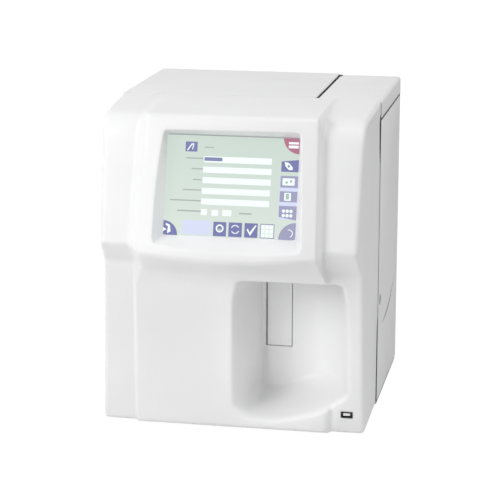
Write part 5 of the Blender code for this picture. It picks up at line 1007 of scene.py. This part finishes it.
def buildScreenPicture():
    picture = screenPicture
    layers = {name: ScreenLayer(name, level) for name, level in (
        ("violet", 1), ("lavender", 1), ("rose", 1), ("grey", 1), ("shade", 1), ("pale", 2))}
    white = ScreenLayer("white", 3)
    green = ScreenLayer("green", 4)
    plain = ScreenLayer("white", 1)
    cells = ScreenLayer("white", 4)
    for bar in picture["bars"] + picture["boxes"]:
        plain.box(*bar, 0.004)
    for dash in picture["dashes"]:
        layers["grey"].box(*dash)
    # a dark strip along the glass's top edge: painted shadow of the window's top wall, drawn into the glowing
    # picture
    layers["shade"].box(0.0, 0.0, 1.0, 0.012)
    violet = layers["violet"]
    mark = ScreenLayer("deepViolet", 2)
    mark.box(0.288, 0.222, 0.424, 0.258)
    mark.finish()
    # icon at the upper left with two slanting strokes
    violet.box(0.140, 0.074, 0.231, 0.172, 0.006)
    white.polygon([(0.152, 0.158), (0.186, 0.092), (0.193, 0.098), (0.160, 0.163)])
    white.polygon([(0.186, 0.092), (0.206, 0.092), (0.198, 0.150), (0.191, 0.150), (0.197, 0.103),
                   (0.184, 0.103)])
    layers["lavender"].box(0.142, 0.845, 0.364, 0.985, 0.004)
    layers["lavender"].box(0.866, 0.376, 1.0, 0.800)
    # quarter circles in three corners
    layers["rose"].slice(1.0, 0.0, 0.122, 90, 180)
    white.box(0.918, 0.045, 0.992, 0.066)
    white.box(0.918, 0.078, 0.992, 0.105, 0.004)
    violet.slice(0.0, 1.0, 0.108, -90, 0)
    white.polygon([(0.018, 0.882), (0.050, 0.900), (0.058, 0.965), (0.030, 0.985), (0.036, 0.915),
                   (0.018, 0.905)])
    white.polygon([(0.0, 0.925), (0.026, 0.945), (0.0, 0.966)])
    buttons = ScreenLayer("paleViolet", 2)
    buttons.slice(1.0, 1.0, 0.128, 180, 270)
    # buttons along the bottom: a dial, two curved arrows, a tick, and a pale one with cells
    for button in picture["lowButtons"]:
        violet.box(*button, 0.003)
    white.slice(0.429, 0.915, 0.030, 0, 360, 0.62, 28)
    green.slice(0.429, 0.928, 0.011, 0, 360, 0, 12)
    for start in (200, 20):
        white.slice(0.546, 0.918, 0.033, start, start + 130, 0.78)
    white.polygon([(0.632, 0.915), (0.642, 0.905), (0.656, 0.940), (0.697, 0.868), (0.706, 0.874),
                   (0.660, 0.975)])
    left, top, right, bottom = picture["gridButton"]
    violet.box(left, top, right, bottom, 0.003)
    layers["pale"].box(left + 0.005, top + 0.007, right - 0.005, bottom - 0.007, 0.002)
    left, top, across, down, width, height = picture["cells"]
    for index in range(9):
        x, y = left + across * (index % 3), top + down * (index // 3)
        cells.box(x, y, x + width, y + height)
    # buttons along the right edge
    for index, (left, top, right, bottom) in enumerate(picture["sideButtons"]):
        points = [(left, top + (0.020 if index == 0 else 0)), (right, top), (right, bottom),
                  (left, bottom - (0.028 if index == 3 else 0))]
        (violet if index == 0 else buttons).polygon(points)
    white.polygon([(0.893, 0.240), (0.925, 0.248), (0.955, 0.290), (0.955, 0.318), (0.925, 0.316),
                   (0.900, 0.280)])
    dot = ScreenLayer("violet", 4)
    dot.slice(0.925, 0.282, 0.009, 0, 360, 0, 10)
    dot.finish()
    white.box(0.884, 0.398, 0.975, 0.468, 0.006)
    green.slice(0.915, 0.440, 0.010, 0, 360, 0, 10)
    green.slice(0.948, 0.428, 0.010, 0, 360, 0, 10)
    white.box(0.902, 0.540, 0.952, 0.618, 0.004)
    green.box(0.914, 0.548, 0.938, 0.604, 0.004)
    left, top, across, down, radius = picture["dots"]
    for index in range(6):
        white.slice(left + across * (index // 2), top + down * (index % 2), radius, 0, 360, 0, 12)
    white.slice(0.950, 0.935, 0.030, 250, 430, 0.8)
    for layer in [*layers.values(), buttons, white, green, plain, cells]:
        layer.finish()


buildScreenPicture()
print("screen picture made")


# USB socket: a dark shell round a white tongue; the shell's dark colour is painted shade, standing in for the
# shadow inside the socket's mouth
def buildUsbSocket():
    usb, gap = usbPlace, 2 * usbPlace["gap"]
    bm = boxMesh(*usbCorners(usb["width"] - gap, usb["rise"] - gap, usb["front"], usb["back"]))
    mouth = [face for face in bm.faces if face.normal.y < -0.9]
    bmesh.ops.inset_region(bm, faces=mouth, thickness=usb["frame"])
    pushed = bmesh.ops.extrude_face_region(bm, geom=mouth)
    bmesh.ops.translate(bm, vec=(0, usb["tongueDepth"], 0), verts=picked(pushed, bmesh.types.BMVert))
    bmesh.ops.delete(bm, geom=mouth, context="FACES")
    bmesh.ops.recalc_face_normals(bm, faces=bm.faces)
    shadeShell = meshObject("usbShadeShell", bm, slotFinishes["dark_plastic"], False)
    front = usb["front"] - usb["tongueBehind"]
    bm = softBox(*usbCorners(usb["tongueWidth"], usb["tongueRise"], front, front - usb["tongueDepth"],
                             usb["tongueLift"]))
    tongue = meshObject("usbTongue", bm, whitePlastic, False)
    for piece, slotName in ((shadeShell, "dark_plastic"), (tongue, "white_plastic")):
        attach(piece, "housing")
        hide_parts("usb_port")


buildUsbSocket()

# black rubber blocks in the gap between the lid and the right top piece: painted shade, standing in for the
# shadowed opening there
lidGapShadeBlocks = {
    "depth": 0.0030,
    "rise": 0.0004,
    "gap": 0.0001,
    # how far onto the top piece, length, distance ahead of the rear edge
    "places": [(0.0032, 0.0130, 0.0), (0.0012, 0.0160, 0.0320)],
}


def buildLidGapShadeBlocks():
    for index, (onto, length, ahead) in enumerate(lidGapShadeBlocks["places"]):
        rear = topHigh.y - ahead
        low = Vector((lidHigh.x + lidGapShadeBlocks["gap"], rear - length, topHigh.z - lidGapShadeBlocks["depth"]))
        high = Vector((topLow.x + onto, rear, topHigh.z + lidGapShadeBlocks["rise"]))
        name = "lidGapShadeBlock" + str(index + 1)
        shadeBlock = meshObject(name, softBox(low, high), slotFinishes["foot_rubber"], False)
        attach(shadeBlock, "housing")


buildLidGapShadeBlocks()
print("small pieces made")

# floor and light
studio = {
    "floorSize": 6.0,
    "floorColor": 0.9,
    "floorGlow": 1.14,
    "shadow": 0.15,
    "skyStrength": 0.35,
    "aim": (0, -0.1, 0.22),
    # soft lamps, all turned to the aim: power, size and where each one hangs
    "lamps": [
        (9.6, 0.6, (-0.884, -1.232, 0.915)),
        (8.6, 0.9, (1.776, -0.576, 1.763)),
        (12.6, 0.9, (0.528, -0.729, 2.475)),
        (9.0, 0.9, (-2.078, -0.100, 1.420)),
    ],
    # a narrow lamp into the recess: power, angle, radius, where it hangs and what it is turned to
    "recessLamp": (29.0, 0.114, 0.05, (-0.70, -2.05, 0.48), (0.086, -0.12, 0.108)),
}


def hangLamp(name, kind, power, spot, aim):
    lamp = bpy.data.lights.new(name, kind)
    lamp.energy = power
    obj = bpy.data.objects.new(name, lamp)
    obj.location = spot
    obj.rotation_euler = (Vector(spot) - Vector(aim)).to_track_quat("Z", "Y").to_euler()
    bpy.context.scene.collection.objects.link(obj)
    return lamp


# a pale floor that the camera sees as white, apart from the shadow of what stands on it
def makeFloor():
    bm = bmesh.new()
    bmesh.ops.create_grid(bm, x_segments=2, y_segments=2, size=studio["floorSize"])
    material, tree, shader = newMaterial("paleFloor")
    grey = studio["floorColor"]
    setInputs(tree, shader, {
        "Base Color": (grey, grey, grey, 1), "Roughness": 0.9, "Specular IOR Level": 0.1})
    seen = addNode(tree, "LightPath", {}).outputs["Is Camera Ray"]
    share = addNode(tree, "Math", {0: seen, 1: 1 - studio["shadow"]}, operation="MULTIPLY")
    glow = addNode(tree, "Emission", {"Strength": studio["floorGlow"]})
    mix = addNode(tree, "MixShader", {
        "Fac": share.outputs["Value"], 1: shader.outputs["BSDF"], 2: glow.outputs["Emission"]})
    setInputs(tree, tree.nodes["Material Output"], {"Surface": mix.outputs["Shader"]})
    floor = meshObject("floor", bm, material, False)


# a dim white sky, which the camera, gloss and clear parts see as plain white
def makeSky():
    world = bpy.data.worlds.new("softSky")
    world.use_nodes = True
    tree = world.node_tree
    sky = tree.nodes["Background"]
    setInputs(tree, sky, {"Color": (1, 1, 1, 1), "Strength": studio["skyStrength"]})
    plain = addNode(tree, "Background", {"Color": (1, 1, 1, 1), "Strength": 1.0})
    path = addNode(tree, "LightPath", {})
    share = path.outputs["Is Camera Ray"]
    for rays in ("Is Glossy Ray", "Is Transmission Ray"):
        share = addNode(tree, "Math", {0: share, 1: path.outputs[rays]}, operation="MAXIMUM").outputs["Value"]
    mix = addNode(tree, "MixShader", {
        "Fac": share, 1: sky.outputs["Background"], 2: plain.outputs["Background"]})
    setInputs(tree, tree.nodes["World Output"], {"Surface": mix.outputs["Shader"]})
    bpy.context.scene.world = world


def makeStudio():
    makeFloor()
    makeSky()
    for power, size, spot in studio["lamps"]:
        hangLamp("softLamp", "AREA", power, spot, studio["aim"]).size = size
    power, angle, radius, spot, aim = studio["recessLamp"]
    narrow = hangLamp("recessLamp", "SPOT", power, spot, aim)
    narrow.spot_size = angle
    narrow.spot_blend = 1.0
    narrow.shadow_soft_size = radius


makeStudio()
bpy.context.scene.view_settings.view_transform = "Standard"
print("studio made")
